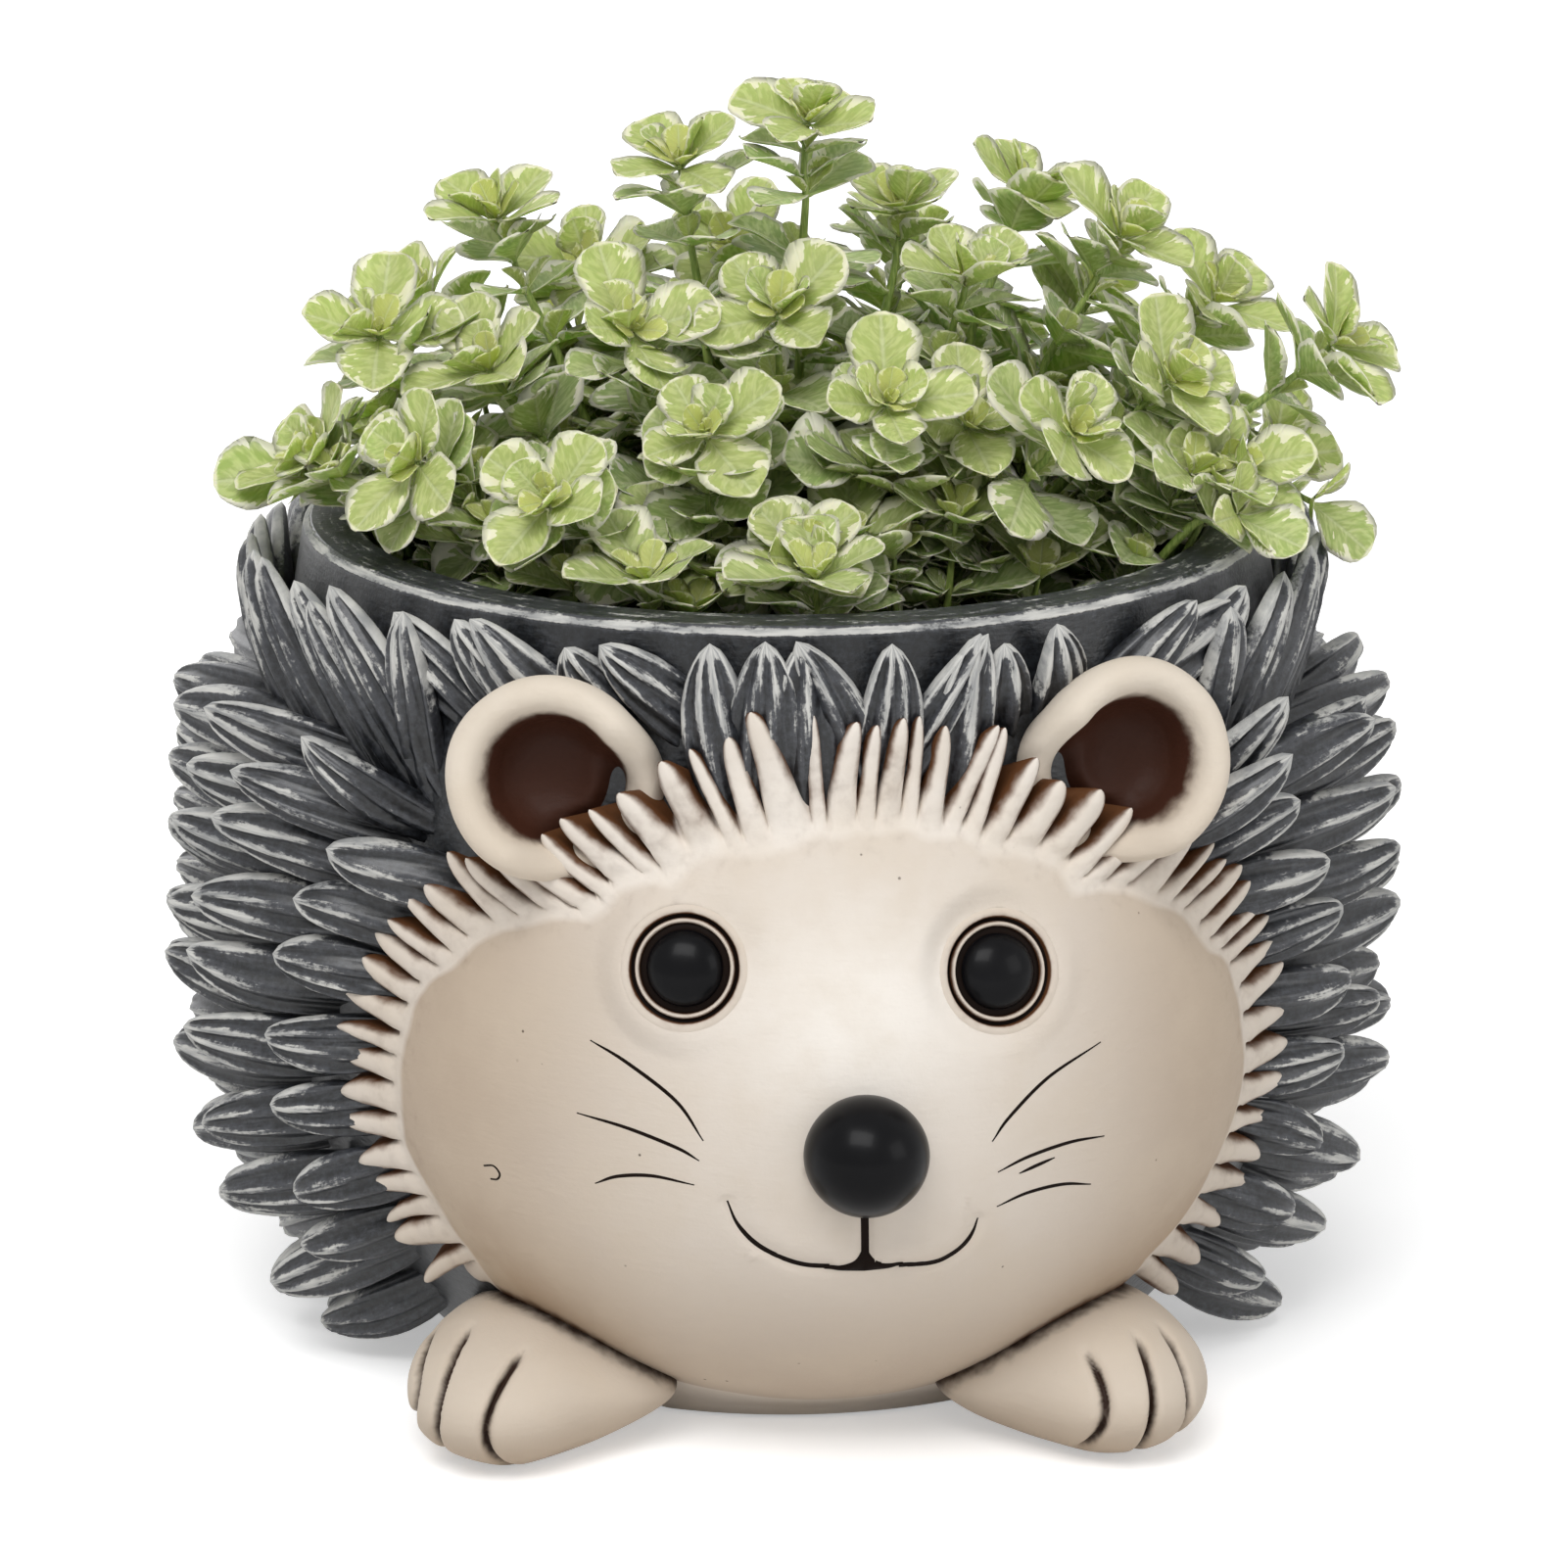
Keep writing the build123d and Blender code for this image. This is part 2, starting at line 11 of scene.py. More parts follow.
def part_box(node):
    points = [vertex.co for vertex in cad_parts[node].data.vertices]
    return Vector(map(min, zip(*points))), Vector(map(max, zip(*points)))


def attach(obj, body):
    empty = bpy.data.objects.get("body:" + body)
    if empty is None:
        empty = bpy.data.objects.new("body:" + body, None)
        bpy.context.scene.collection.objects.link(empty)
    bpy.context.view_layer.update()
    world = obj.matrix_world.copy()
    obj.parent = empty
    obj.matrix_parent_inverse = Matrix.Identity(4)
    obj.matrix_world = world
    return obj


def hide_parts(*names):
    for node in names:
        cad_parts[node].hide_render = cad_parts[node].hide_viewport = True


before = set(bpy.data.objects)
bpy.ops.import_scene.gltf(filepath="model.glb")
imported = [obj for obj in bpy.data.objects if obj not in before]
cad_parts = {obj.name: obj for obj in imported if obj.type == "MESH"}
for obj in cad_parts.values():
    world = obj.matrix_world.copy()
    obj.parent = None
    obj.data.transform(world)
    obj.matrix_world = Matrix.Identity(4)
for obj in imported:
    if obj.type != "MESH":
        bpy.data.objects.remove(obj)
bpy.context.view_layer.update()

mm = 0.001


# small helpers that every piece uses
def lengths(vectors):
    return np.linalg.norm(vectors, axis=-1)


def unit(vector):
    vector = np.asarray(vector, float)
    return vector / lengths(vector)


def offset(*parts):
    # the sum of amounts along directions, given in pairs
    return sum(np.asarray(amount)[..., None] * way for amount, way in parts)


def crossWays(axis):
    # a unit axis and the two directions across it
    axis = unit(axis)
    side = unit(np.cross(axis, (0, 0, 1)))
    return axis, side, np.cross(side, axis)


def smoothStep(low, high, values):
    t = np.clip((np.asarray(values, float) - low) / (high - low), 0, 1)
    return t * t * (3 - 2 * t)


def gridFaces(rows, columns, start=0, closed=False):
    # quads between neighbouring rows of points, joined round where the rows are rings
    faces = []
    for row in range(rows - 1):
        for column in range(columns if closed else columns - 1):
            a = start + row * columns + column
            b = start + row * columns + (column + 1) % columns
            faces.append((a, b, b + columns, a + columns))
    return faces


def cappedTube(rows, columns):
    # rings of points with a face over each end
    first, last = (tuple(row * columns + i for i in range(columns)) for row in (0, rows - 1))
    return gridFaces(rows, columns, closed=True) + [first[::-1], last]


def addPiece(name, points, faces, material, marks=None, body="pot", stands=()):
    mesh = bpy.data.meshes.new(name)
    mesh.from_pydata(np.asarray(points, float).tolist(), [], faces)
    for mark, values in (marks or {}).items():
        layer = mesh.attributes.new(mark, "FLOAT", "POINT")
        layer.data.foreach_set("value", np.asarray(values, np.float32).ravel())
    mesh.update()
    mesh.shade_smooth()
    mesh.materials.append(material)
    piece = bpy.data.objects.new(name, mesh)
    bpy.context.scene.collection.objects.link(piece)
    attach(piece, body)
    if stands:
        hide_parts(*stands)
    return piece


def cadMesh(node):
    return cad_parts[node].data


def treeOf(mesh):
    return BVHTree.FromPolygons([v.co for v in mesh.vertices], [tuple(p.vertices) for p in mesh.polygons])


def touch(tree, points, chosen, reach=4 * mm):
    # 1 where a chosen point lies on the other skin, falling to 0 at that reach
    amount = np.zeros(len(points))
    for i in np.nonzero(chosen)[0]:
        distance = tree.find_nearest(Vector(points[i]), reach)[3]
        if distance is not None:
            amount[i] = 1 - distance / reach
    return amount


def looseSolids(node):
    # corner points of each separate solid in a CAD node
    joined = bmesh.new()
    joined.from_mesh(cadMesh(node))
    bmesh.ops.remove_doubles(joined, verts=joined.verts, dist=0.01 * mm)
    seen, solids = set(), []
    for first in joined.verts:
        if first in seen:
            continue
        seen.add(first)
        queue, corners = [first], []
        while queue:
            vert = queue.pop()
            corners.append(tuple(vert.co))
            for edge in vert.link_edges:
                other = edge.other_vert(vert)
                if other not in seen:
                    seen.add(other)
                    queue.append(other)
        solids.append(np.array(corners))
    joined.free()
    return solids


def bumps(points, size, seed):
    # smooth noise from -1 to 1 at each point, with lumps of that size
    shift = Vector((seed * 7.3, seed * 3.1, seed * 5.7))
    return np.array([noise.noise(Vector(p) / size + shift) for p in points])


def readCurve(points, samples):
    # smooth line through listed points
    points = np.asarray(points, float)
    padded = np.vstack([2 * points[0] - points[1], points, 2 * points[-1] - points[-2]])
    line = []
    for spot in np.linspace(0, len(points) - 1, samples):
        i = min(int(spot), len(points) - 2)
        t = spot - i
        a, b, c, d = padded[i : i + 4]
        bend = (2 * a - 5 * b + 4 * c - d) * t**2 + (3 * b - a - 3 * c + d) * t**3
        line.append((2 * b + (c - a) * t + bend) / 2)
    return np.array(line)


# shader helpers
def rgb(hexText):
    # a written colour as linear values
    parts = [int(hexText[i : i + 2], 16) / 255 for i in (0, 2, 4)]
    return [c / 12.92 if c < 0.04045 else ((c + 0.055) / 1.055) ** 2.4 for c in parts] + [1]


def join(tree, value, socket):
    if isinstance(value, Value):
        tree.links.new(value.socket, socket)
    else:
        socket.default_value = rgb(value) if isinstance(value, str) else value


def put(tree, kind, sockets=None, output=0, **settings):
    made = tree.nodes.new("ShaderNode" + kind)
    for name, value in settings.items():
        setattr(made, name, value)
    for name, value in (sockets or {}).items():
        join(tree, value, made.inputs[name])
    return Value(made.outputs[output])


class Value:
    # an output of a shader node, which adds, multiplies and mixes as a number does
    def __init__(self, socket):
        self.socket = socket

    def into(self, kind, sockets, output=0, **settings):
        return put(self.socket.id_data, kind, sockets, output, **settings)

    def math(self, operation, other=0.0):
        return self.into("Math", {0: self, 1: other}, operation=operation)

    def __add__(self, other):
        return self.math("ADD", other)

    def __mul__(self, other):
        return self.math("MULTIPLY", other)

    def __sub__(self, other):
        return self.math("SUBTRACT", other)

    def __rsub__(self, other):
        return self.into("Math", {0: other, 1: self}, operation="SUBTRACT")

    def larger(self, other):
        return self.math("MAXIMUM", other)

    def ramp(self, low, high):
        # 0 below low, 1 above high, smooth between
        ends = {"Value": self, "From Min": low, "From Max": high}
        return self.into("MapRange", ends, interpolation_type="SMOOTHSTEP")

    def mix(self, a, b, blend="MIX"):
        # two colours mixed by this share
        return self.into("Mix", {0: self, 6: a, 7: b}, 2, data_type="RGBA", blend_type=blend)

    def noise(self, scale, detail, roughness=0.5):
        sockets = {"Vector": self, "Scale": scale, "Detail": detail, "Roughness": roughness}
        return self.into("TexNoise", sockets)

    def stretched(self, scale):
        return self.into("Mapping", {"Vector": self, "Scale": scale})

    def bump(self, strength, distance):
        return self.into("Bump", {"Height": self, "Strength": strength, "Distance": distance})


def objectPlace(tree):
    return put(tree, "TexCoord", output="Object")


def storedMarks(tree, names):
    # values stored on the mesh, under the input names of a shared effect
    return {name.title(): put(tree, "Attribute", output="Fac", attribute_name=name) for name in names.split()}


def sharedEffect(name, inputs, work):
    # a shader group: inputs with their usual values, and the function that works out its outputs
    tree = bpy.data.node_groups.new(name, "ShaderNodeTree")
    for label, value in inputs.items():
        kind = "NodeSocketColor" if isinstance(value, list) else "NodeSocketFloat"
        tree.interface.new_socket(label, in_out="INPUT", socket_type=kind).default_value = value
    made = work(tree, {socket.name: Value(socket) for socket in tree.nodes.new("NodeGroupInput").outputs})
    for label in made:
        kind = "NodeSocketColor" if label == "Color" else "NodeSocketFloat"
        tree.interface.new_socket(label, in_out="OUTPUT", socket_type=kind)
    results = tree.nodes.new("NodeGroupOutput").inputs
    for label, value in made.items():
        join(tree, value, results[label])
    return tree


def place(tree, effect, sockets):
    # a shared effect in a material, its outputs by name
    made = tree.nodes.new("ShaderNodeGroup")
    made.node_tree = effect
    for name, value in sockets.items():
        join(tree, value, made.inputs[name])
    return {output.name: Value(output) for output in made.outputs}


def newMaterial(name, work, *values):
    # a material whose shader sockets are worked out or set by a function
    material = bpy.data.materials.new(name)
    material.use_nodes = True
    surface = material.node_tree.nodes["Principled BSDF"].inputs
    for label, value in work(material.node_tree, *values).items():
        join(material.node_tree, value, surface[label])
    return material


# shared effects
def sandyGrain(tree, given):
    # fine sandy skin with brush drag and a few pinholes, as on cast and painted stoneware
    spot = put(tree, "VectorMath", {0: objectPlace(tree), "Scale": given["Scale"]}, operation="SCALE")
    fine, broad = spot.noise(1400.0, 3.0), spot.noise(55.0, 4.0, 0.6)
    drag = spot.stretched((260, 260, 900)).noise(1.0, 2.0)
    cells = spot.into("TexVoronoi", {"Vector": spot, "Scale": 210.0})
    pits = (1 - cells).ramp(0.93, 0.97) * broad.ramp(0.55, 0.62) * given["Pin Holes"]
    return {"Height": fine * 0.35 + drag * 0.65 - pits, "Tone": broad, "Pits": pits}


def wipedWash(tree, given):
    # cream paint with a brown wash wiped into the low places; the low mark also carries some painted shade,
    # and the shade mark mixes in painted shade
    streak = objectPlace(tree).noise(420.0, 4.0)
    uneven = given["Low"] + (streak - 0.5) * 0.5
    low = uneven.ramp(0.18, 0.85) * given["Low"].ramp(0.02, 0.2)
    # painted shade: the shade mark darkens the paint towards a dim brown
    shaded = given["Shade"].mix(given["Paint"], "a8937c")
    toned = (given["Tone"].ramp(0.35, 0.75) * 0.35).mix(shaded, "c9baa6")
    pitted = (given["Pits"] * 0.85).mix(low.mix(toned, given["Wash"]), "3c2c22")
    return {"Color": pitted, "Roughness": 0.62 - low * 0.12}


def draggedStrokes(tree, given):
    # charcoal paint with pale grey dragged along the ridges by a nearly dry brush
    lanes = {"X": given["Across"] * 5.0, "Y": given["Along"] * 3.2, "Z": given["Seed"] * 60.0}
    strokes = put(tree, "CombineXYZ", lanes).noise(1.0, 5.0, 0.65)
    flecks = objectPlace(tree).noise(900.0, 3.0, 0.7)
    level = given["Ridge"] + (strokes * 1.5 + flecks * 0.7 - 1.35) + (given["Cover"] - 0.5)
    paint, haze = level.ramp(0.19, 0.45), level.ramp(-0.3, 0.3) * 0.32
    dark = haze.mix(flecks.ramp(0.35, 0.7).mix("0c0d0f", "212428"), "62646b")
    pale = strokes.ramp(0.35, 0.65).mix("8d8e8e", "c6c5c0")
    return {"Color": paint.mix(dark, pale), "Roughness": paint * 0.24 + 0.36, "Paint": paint}


def creamStreaks(tree, given):
    # green leaf with a cream edge that runs inwards between the side veins
    outwards = given["Across"].math("ABSOLUTE")
    slanted = given["Along"] - outwards * 0.32
    lanes = {"X": slanted * 6.0, "Y": given["Across"] * 1.3, "Z": given["Seed"] * 40.0}
    lanes = put(tree, "CombineXYZ", lanes)
    patches, blotch = lanes.noise(1.0, 3.0), lanes.noise(2.3, 2.0)
    margin = outwards.ramp(0.86, 0.92).larger(given["Along"].ramp(0.94, 0.98))
    cream = (outwards + (patches - 0.5) * 2.1).ramp(0.76, 0.82).larger(margin)
    sideVein = (slanted * 34.0).math("SINE").ramp(0.82, 1.0) * 0.25
    vein = ((1 - outwards.ramp(0.02, 0.09)) * 0.8).larger(sideVein)
    fresh = given["Youth"].mix(blotch.ramp(0.4, 0.62).mix("8ba367", "b2c38a"), "c6cd74")
    veined = (vein * 0.55).mix(fresh, "d5dfa6")
    edged = cream.mix(veined, given["Youth"].mix("ecedd3", "e3e7a4"))
    # painted shade: leaves marked deep in the plant are multiplied towards dark olive
    deep = given["Depth"].mix(edged, "4c5c26", "MULTIPLY")
    color = (given["Depth"] * 0.75).mix(edged, deep)
    return {"Color": color, "Height": blotch * 0.5 - vein, "Roughness": blotch * 0.15 + 0.4}


castGrain = sharedEffect("castGrain", {"Scale": 1.0, "Pin Holes": 1.0}, sandyGrain)
brownWash = sharedEffect(
    "brownWash",
    {"Paint": rgb("dccfbd"), "Wash": rgb("4a3020"), "Low": 0.0, "Shade": 0.0, "Pits": 0.0, "Tone": 0.5},
    wipedWash,
)
dryBrush = sharedEffect(
    "dryBrush", {"Ridge": 0.0, "Along": 0.5, "Across": 0.0, "Seed": 0.0, "Cover": 0.5}, draggedStrokes
)
leafStreaks = sharedEffect(
    "leafStreaks", {"Across": 0.0, "Along": 0.5, "Seed": 0.0, "Youth": 0.0, "Depth": 0.0}, creamStreaks
)


# materials
def castPaint(tree, paint, wash):
    # cream stoneware: face, fringe, ears and paws
    grain = place(tree, castGrain, {})
    colours = {"Paint": paint, "Wash": wash, "Pits": grain["Pits"], "Tone": grain["Tone"]}
    skin = place(tree, brownWash, colours | storedMarks(tree, "low shade"))
    return {"Base Color": skin["Color"], "Roughness": skin["Roughness"],
            "Normal": grain["Height"].bump(0.35, 0.0004), "Specular IOR Level": 0.126}


def brushedPaint(tree):
    # charcoal stoneware with pale strokes: the quills
    grain = place(tree, castGrain, {"Pin Holes": 0.4})
    strokes = place(tree, dryBrush, storedMarks(tree, "ridge along across seed"))
    height = grain["Height"] * 0.5 + strokes["Paint"]
    return {"Base Color": strokes["Color"], "Roughness": strokes["Roughness"],
            "Normal": height.bump(0.4, 0.0003)}


def wallPaint(tree):
    # wall and rim of the CAD shell, which carry no marks: strokes follow the height instead
    grain = place(tree, castGrain, {"Pin Holes": 0.6})
    x, y, z = (put(tree, "SeparateXYZ", {"Vector": objectPlace(tree)}, axis) for axis in "XYZ")
    level = put(tree, "CombineXYZ", {"X": x, "Y": y})
    radius = level.into("VectorMath", {0: level}, "Value", operation="LENGTH")
    top = z.ramp(0.1340, 0.1352)
    rimTop, outerEdge = top * radius.ramp(0.0680, 0.0700), top * radius.ramp(0.0772, 0.0779)
    lanes = {"Ridge": rimTop * 0.44 + outerEdge * 0.45, "Along": y.math("ARCTAN2", x) * 2.2,
             "Across": radius * 160.0, "Seed": 0.3, "Cover": 0.42}
    strokes = place(tree, dryBrush, lanes)
    return {"Base Color": strokes["Color"], "Roughness": strokes["Roughness"],
            "Normal": (grain["Height"] + strokes["Paint"]).bump(0.5, 0.0004)}


def glossBlack(tree):
    tone = place(tree, castGrain, {"Scale": 0.6, "Pin Holes": 0.0})["Tone"]
    return {"Base Color": tone.ramp(0.3, 0.8).mix("08080a", "121214"), "Roughness": tone * 0.1 + 0.24,
            "Normal": tone.bump(0.05, 0.0005), "Specular IOR Level": 0.0864, "Coat Weight": 0.03,
            "Coat Roughness": 0.08}


def inkPaint(tree):
    # dark paint in the engraved lines and the eye sockets
    grain = place(tree, castGrain, {})
    return {"Base Color": grain["Tone"].mix("0c0705", "1c110b"), "Roughness": 0.45,
            "Normal": grain["Height"].bump(0.2, 0.0002), "Specular IOR Level": 0.054}


def leafSkin(tree):
    leaf = place(tree, leafStreaks, storedMarks(tree, "across along seed youth depth"))
    return {"Base Color": leaf["Color"], "Roughness": leaf["Roughness"],
            "Normal": leaf["Height"].bump(0.5, 0.0003), "Subsurface Weight": 0.25,
            "Subsurface Radius": (0.5, 1.0, 0.2), "Subsurface Scale": 0.003, "Specular IOR Level": 0.126}


def stemSkin(tree):
    fibres = objectPlace(tree).stretched((2600, 2600, 260)).noise(1.0, 3.0)
    green = fibres.ramp(0.3, 0.7).mix("6f8a3a", "a3b562")
    # painted shade: stems marked deep in the plant are darker
    return {"Base Color": storedMarks(tree, "depth")["Depth"].mix(green, "46421f"), "Roughness": 0.5,
            "Normal": fibres.bump(0.4, 0.0002)}


def compostSkin(tree):
    spot = objectPlace(tree)
    crumbs, fibres = spot.noise(520.0, 8.0, 0.7), spot.into("TexVoronoi", {"Vector": spot, "Scale": 380.0})
    tone = crumbs.ramp(0.4, 0.66).mix("0d0906", "32241a")
    return {"Base Color": fibres.ramp(0.5, 0.75).mix(tone, "4b3a2a"), "Roughness": 0.9,
            "Normal": crumbs.bump(0.9, 0.0015)}


def rubberSkin(tree):
    grain = place(tree, castGrain, {"Scale": 1.6, "Pin Holes": 0.0})
    return {"Base Color": grain["Tone"].mix("1b1b1c", "2a2a2a"), "Roughness": grain["Tone"] * 0.2 + 0.6,
            "Normal": grain["Height"].bump(0.3, 0.0002)}


creamFace = newMaterial("creamFace", castPaint, "ece6de", "5c3b24")
creamEar = newMaterial("creamEar", castPaint, "d8cdbe", "3b2117")
creamPaw = newMaterial("creamPaw", castPaint, "d6ccbf", "2f1f17")
quillPaint = newMaterial("quillPaint", brushedPaint)
potWall = newMaterial("potWallPaint", wallPaint)
blackGloss = newMaterial("blackGloss", glossBlack)
darkInk = newMaterial("darkInk", inkPaint)
leafGreen = newMaterial("leafSkin", leafSkin)
stemGreen = newMaterial("stemSkin", stemSkin)
compost = newMaterial("compost", compostSkin)
plugRubber = newMaterial("plugRubber", rubberSkin)
print("materials ready")

# head frame, in millimetres: the face looks a little to one side
earMiddle = sum((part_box(node)[0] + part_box(node)[1] for node in ("left_ear", "right_ear")), Vector()) / 4
headTurn = math.atan2(earMiddle.x, -earMiddle.y)
toRow = np.array(Matrix.Rotation(headTurn, 3, "Z"))


def turned(points):
    # directions from the head's own frame to the model's
    return np.asarray(points, float) @ toRow.T


def inHead(points):
    return np.asarray(points, float) @ toRow / mm


def fromHead(points):
    return turned(points) * mm


def seatOf(node, axis, depth):
    # middle of a round CAD form, that far below its front end, with its axis and the ways across it
    axis, side, front = crossWays(axis)
    corners = inHead([tuple(v.co) for v in cadMesh(node).vertices])
    middles = [((corners @ way).min() + (corners @ way).max()) / 2 for way in (side, front)]
    seat = side * middles[0] + front * middles[1] + axis * ((corners @ axis).max() - depth)
    return seat, axis, side, front


# places of the ears and paws, in millimetres, for what keeps clear of them
earOnFace, earOnWall, pawMiddle = (42, -66, 112), (42, -64, 110), (44.5, -63, 10.5)


def gapToPair(spot, pair):
    # distance to the nearer of two places that mirror each other
    return min(lengths(spot - pair * np.array((side, 1, 1))) for side in (-1, 1))


# bare wall of the pot, an upper and a lower arc turned about Z, in millimetres
wall = {"height": 136, "rim": 78.4, "belly": 85, "bellyHeight": 62, "foot": 57}


def wallArc(height):
    upper = np.asarray(height) > wall["bellyHeight"]
    drop = wall["belly"] - np.where(upper, wall["rim"], wall["foot"])
    rise = np.where(upper, wall["height"] - wall["bellyHeight"], wall["bellyHeight"])
    arc = (rise**2 + drop**2) / (2 * drop)
    return arc, wall["belly"] - arc


def wallNormal(point):
    radius = math.hypot(point[0], point[1])
    out = (radius - wallArc(point[2])[1]) / radius
    return unit((point[0] * out, point[1] * out, point[2] - wall["bellyHeight"]))


def latheForm(profile, centre, axis, segments):
    # rings of a turned form: radius and height along the axis, closed where the radius is 0
    axis, side, front = crossWays(axis)
    angle = np.linspace(0, 2 * np.pi, segments, endpoint=False)
    circle = offset((np.cos(angle), side), (np.sin(angle), front))
    points, faces, last = [], [], None
    for radius, height in profile:
        ring = [len(points) + i for i in range(1 if radius < 1e-6 else segments)]
        points += list(centre + axis * height + circle[: len(ring)] * radius)
        for i in range(segments if last else 0):
            corner = (last, i), (last, i + 1), (ring, i + 1), (ring, i)
            faces.append(tuple(dict.fromkeys(row[place % len(row)] for row, place in corner)))
        last = ring
    return np.array(points), faces


# face and its fringe of locks, one skin
face = {
    "spokeCentre": np.array((0.0, -45.0, 59.0)),
    "farOut": 200,  # where the spokes start that are cast back at the skin
    "middle": (59, 68, 55),  # centre height, half width and half height of the outline
    "locks": 82,
    "perLock": 8,  # columns of points in a lock, the first in the gap before it
    "coarseTurns": 360,
    "levels": 96,
    "rings": 84,
    "lockRows": 20,
    "firstRing": 2.0,
    "fringeDepth": 11.5,
    "chinDepth": 2.5,
    "edgeShare": 0.5,
    "reach": (4.7, 9.2),  # past the edge, for locks at the side and at the top
    "lift": (4.3, 7.2),
    "dome": 1.3,
    "gapDepth": 2.6,
    "tuck": 3.0,  # how far the bare edge between locks turns in
    "washAtGap": 0.22,
    "ground": 0.4,
    "longLock": {"near": (-14, -58, 113), "width": 1.4, "reach": 12.4, "lift": 8.0, "lean": 0.2},
    # across a lock, column by column: place at its root and its tip, wash at its sides and down its middle
    "rootLanes": np.arange(8) / 4 - 1,
    "tipLanes": np.array([-1, -1, -0.84, -0.45, 0, 0.45, 0.84, 1]),
    "sideWash": np.array([1, 1, 0.62, 0.16, 0.16, 0.16, 0.62, 1]),
    "middleWash": np.array([0, 0, 0, 1, 1, 1, 0, 0]),
    "eyeLip": {"below": 2.2, "flat": (8.5, 9.1), "fade": (9.6, 14.5)},
    "crease": {"depth": 0.75, "beside": 3.2, "rise": 0.35, "wide": 2.0},
}
mouthLeft = [(-19.9, 50.7), (-18.4, 47.0), (-15.7, 43.9), (-12.0, 41.7), (-8.3, 40.5), (-4.4, 40.2)]
mouthRight = [(18.9, 46.2), (18.2, 43.9), (16.8, 41.9), (14.3, 40.2), (11.5, 39.5), (6.4, 39.8)]
mouthStem = [(0.6, 51.0), (0.8, 46.5), (1.0, 42.0)]
# each eye's seat on its lip plane and the way it looks
eyeSeats = {
    node: seatOf(node, (across, -0.93, 0.28), 2.6)[:2]
    for node, across in (("left_eye", 0.22), ("right_eye", -0.22))
}


def distanceToLine(spots, line):
    line = readCurve(line, 60)
    best = np.full(len(spots), 1e9)
    for a, b in zip(line[:-1], line[1:]):
        t = np.clip(((spots - a) @ (b - a)) / ((b - a) @ (b - a)), 0, 1)
        best = np.minimum(best, lengths(spots - a - t[:, None] * (b - a)))
    return best


def castSkin(tree, directions):
    # distance of the face's skin from the spoke centre in each direction, nan past its edge
    far = face["farOut"]
    starts, ways = fromHead(face["spokeCentre"] + directions * far), turned(-directions)
    found = [tree.ray_cast(Vector(start), Vector(way), far * mm)[3] for start, way in zip(starts, ways)]
    return np.array([np.nan if distance is None else far - distance / mm for distance in found])


def spokes(tilt, turn):
    return np.stack([np.sin(tilt) * np.cos(turn), -np.cos(tilt), np.sin(tilt) * np.sin(turn)], -1)


def edgeTilt(tree, turns):
    low, high = np.full(len(turns), 0.3), np.full(len(turns), 1.8)
    for _ in range(12):
        middle = (low + high) / 2
        hit = ~np.isnan(castSkin(tree, spokes(middle, turns)))
        low, high = np.where(hit, middle, low), np.where(hit, high, middle)
    return low


def softened(values, rounds):
    for _ in range(rounds):
        values = (np.roll(values, 1, 0) + 2 * values + np.roll(values, -1, 0)) / 4
        padded = np.concatenate([values[:, :1], values, values[:, -1:]], 1)
        values = (padded[:, :-2] + 2 * values + padded[:, 2:]) / 4
    return values


def skinProfiles(tree, rng):
    # each column's line over the skin from the middle to the edge, and which lock is the long one
    coarse = np.linspace(0, 2 * np.pi, face["coarseTurns"], endpoint=False)
    ways = spokes(edgeTilt(tree, coarse), coarse)
    edge = face["spokeCentre"] + ways * castSkin(tree, ways)[:, None]
    run = np.append(0, np.cumsum(lengths(np.roll(edge, -1, 0) - edge)))
    middles = (np.arange(face["locks"]) + 0.5) / face["locks"] * run[-1]
    spots = np.array([np.interp(middles, run, np.append(edge[:, i], edge[0, i])) for i in range(3)]).T
    widths = rng.uniform(0.74, 1.26, face["locks"])
    widths[(spots[:, 2] > 100) & (np.abs(spots[:, 0]) < 30)] *= 0.78
    longLock = np.argmin(lengths(spots - face["longLock"]["near"]))
    widths[longLock] = face["longLock"]["width"]
    bounds = np.append(0, np.cumsum(widths)) / widths.sum() * run[-1]
    shares = np.arange(face["perLock"]) / face["perLock"]
    places = (bounds[:-1, None] + shares * np.diff(bounds)[:, None]).ravel()
    turns = np.interp(places, run, np.append(coarse, 2 * np.pi))
    tilts, levels = edgeTilt(tree, turns) * 0.998, np.linspace(0, 1, face["levels"])
    ways = spokes(tilts[:, None] * levels, turns[:, None])
    reach = castSkin(tree, ways.reshape(-1, 3)).reshape(len(turns), -1)
    for row in reach:
        known = ~np.isnan(row)
        row[~known] = np.interp(levels[~known], levels[known], row[known])
    return face["spokeCentre"] + ways * softened(reach, 5)[..., None], longLock


def followSkin(skin, run, depth):
    # points at a distance along each column's line
    return np.array([[np.interp(d, r, line[:, i]) for i in range(3)] for line, r, d in zip(skin, run, depth)])


def shapeSkin(points):
    # flat lips round the eyes, a crease along the mouth
    points = points.copy()
    lip, crease = face["eyeLip"], face["crease"]
    for seat, axis in eyeSeats.values():
        height = (points - seat) @ axis
        radius = lengths(points - seat - height[:, None] * axis)
        wanted = -lip["below"] * (1 - smoothStep(*lip["flat"], radius))
        near = (1 - smoothStep(*lip["fade"], radius)) * (np.abs(height) < 12)
        points += ((wanted - height) * near)[:, None] * axis
    spots = points[:, [0, 2]]
    gap = np.min([distanceToLine(spots, line) for line in (mouthLeft, mouthRight, mouthStem)], 0)
    above = np.exp(-(((gap - crease["beside"]) / crease["wide"]) ** 2))
    above *= (spots[:, 1] > 41) * (np.abs(spots[:, 0]) < 17)
    points[:, 1] += (points[:, 1] < -78) * (crease["depth"] * np.exp(-(gap**2)) - crease["rise"] * above)
    return points


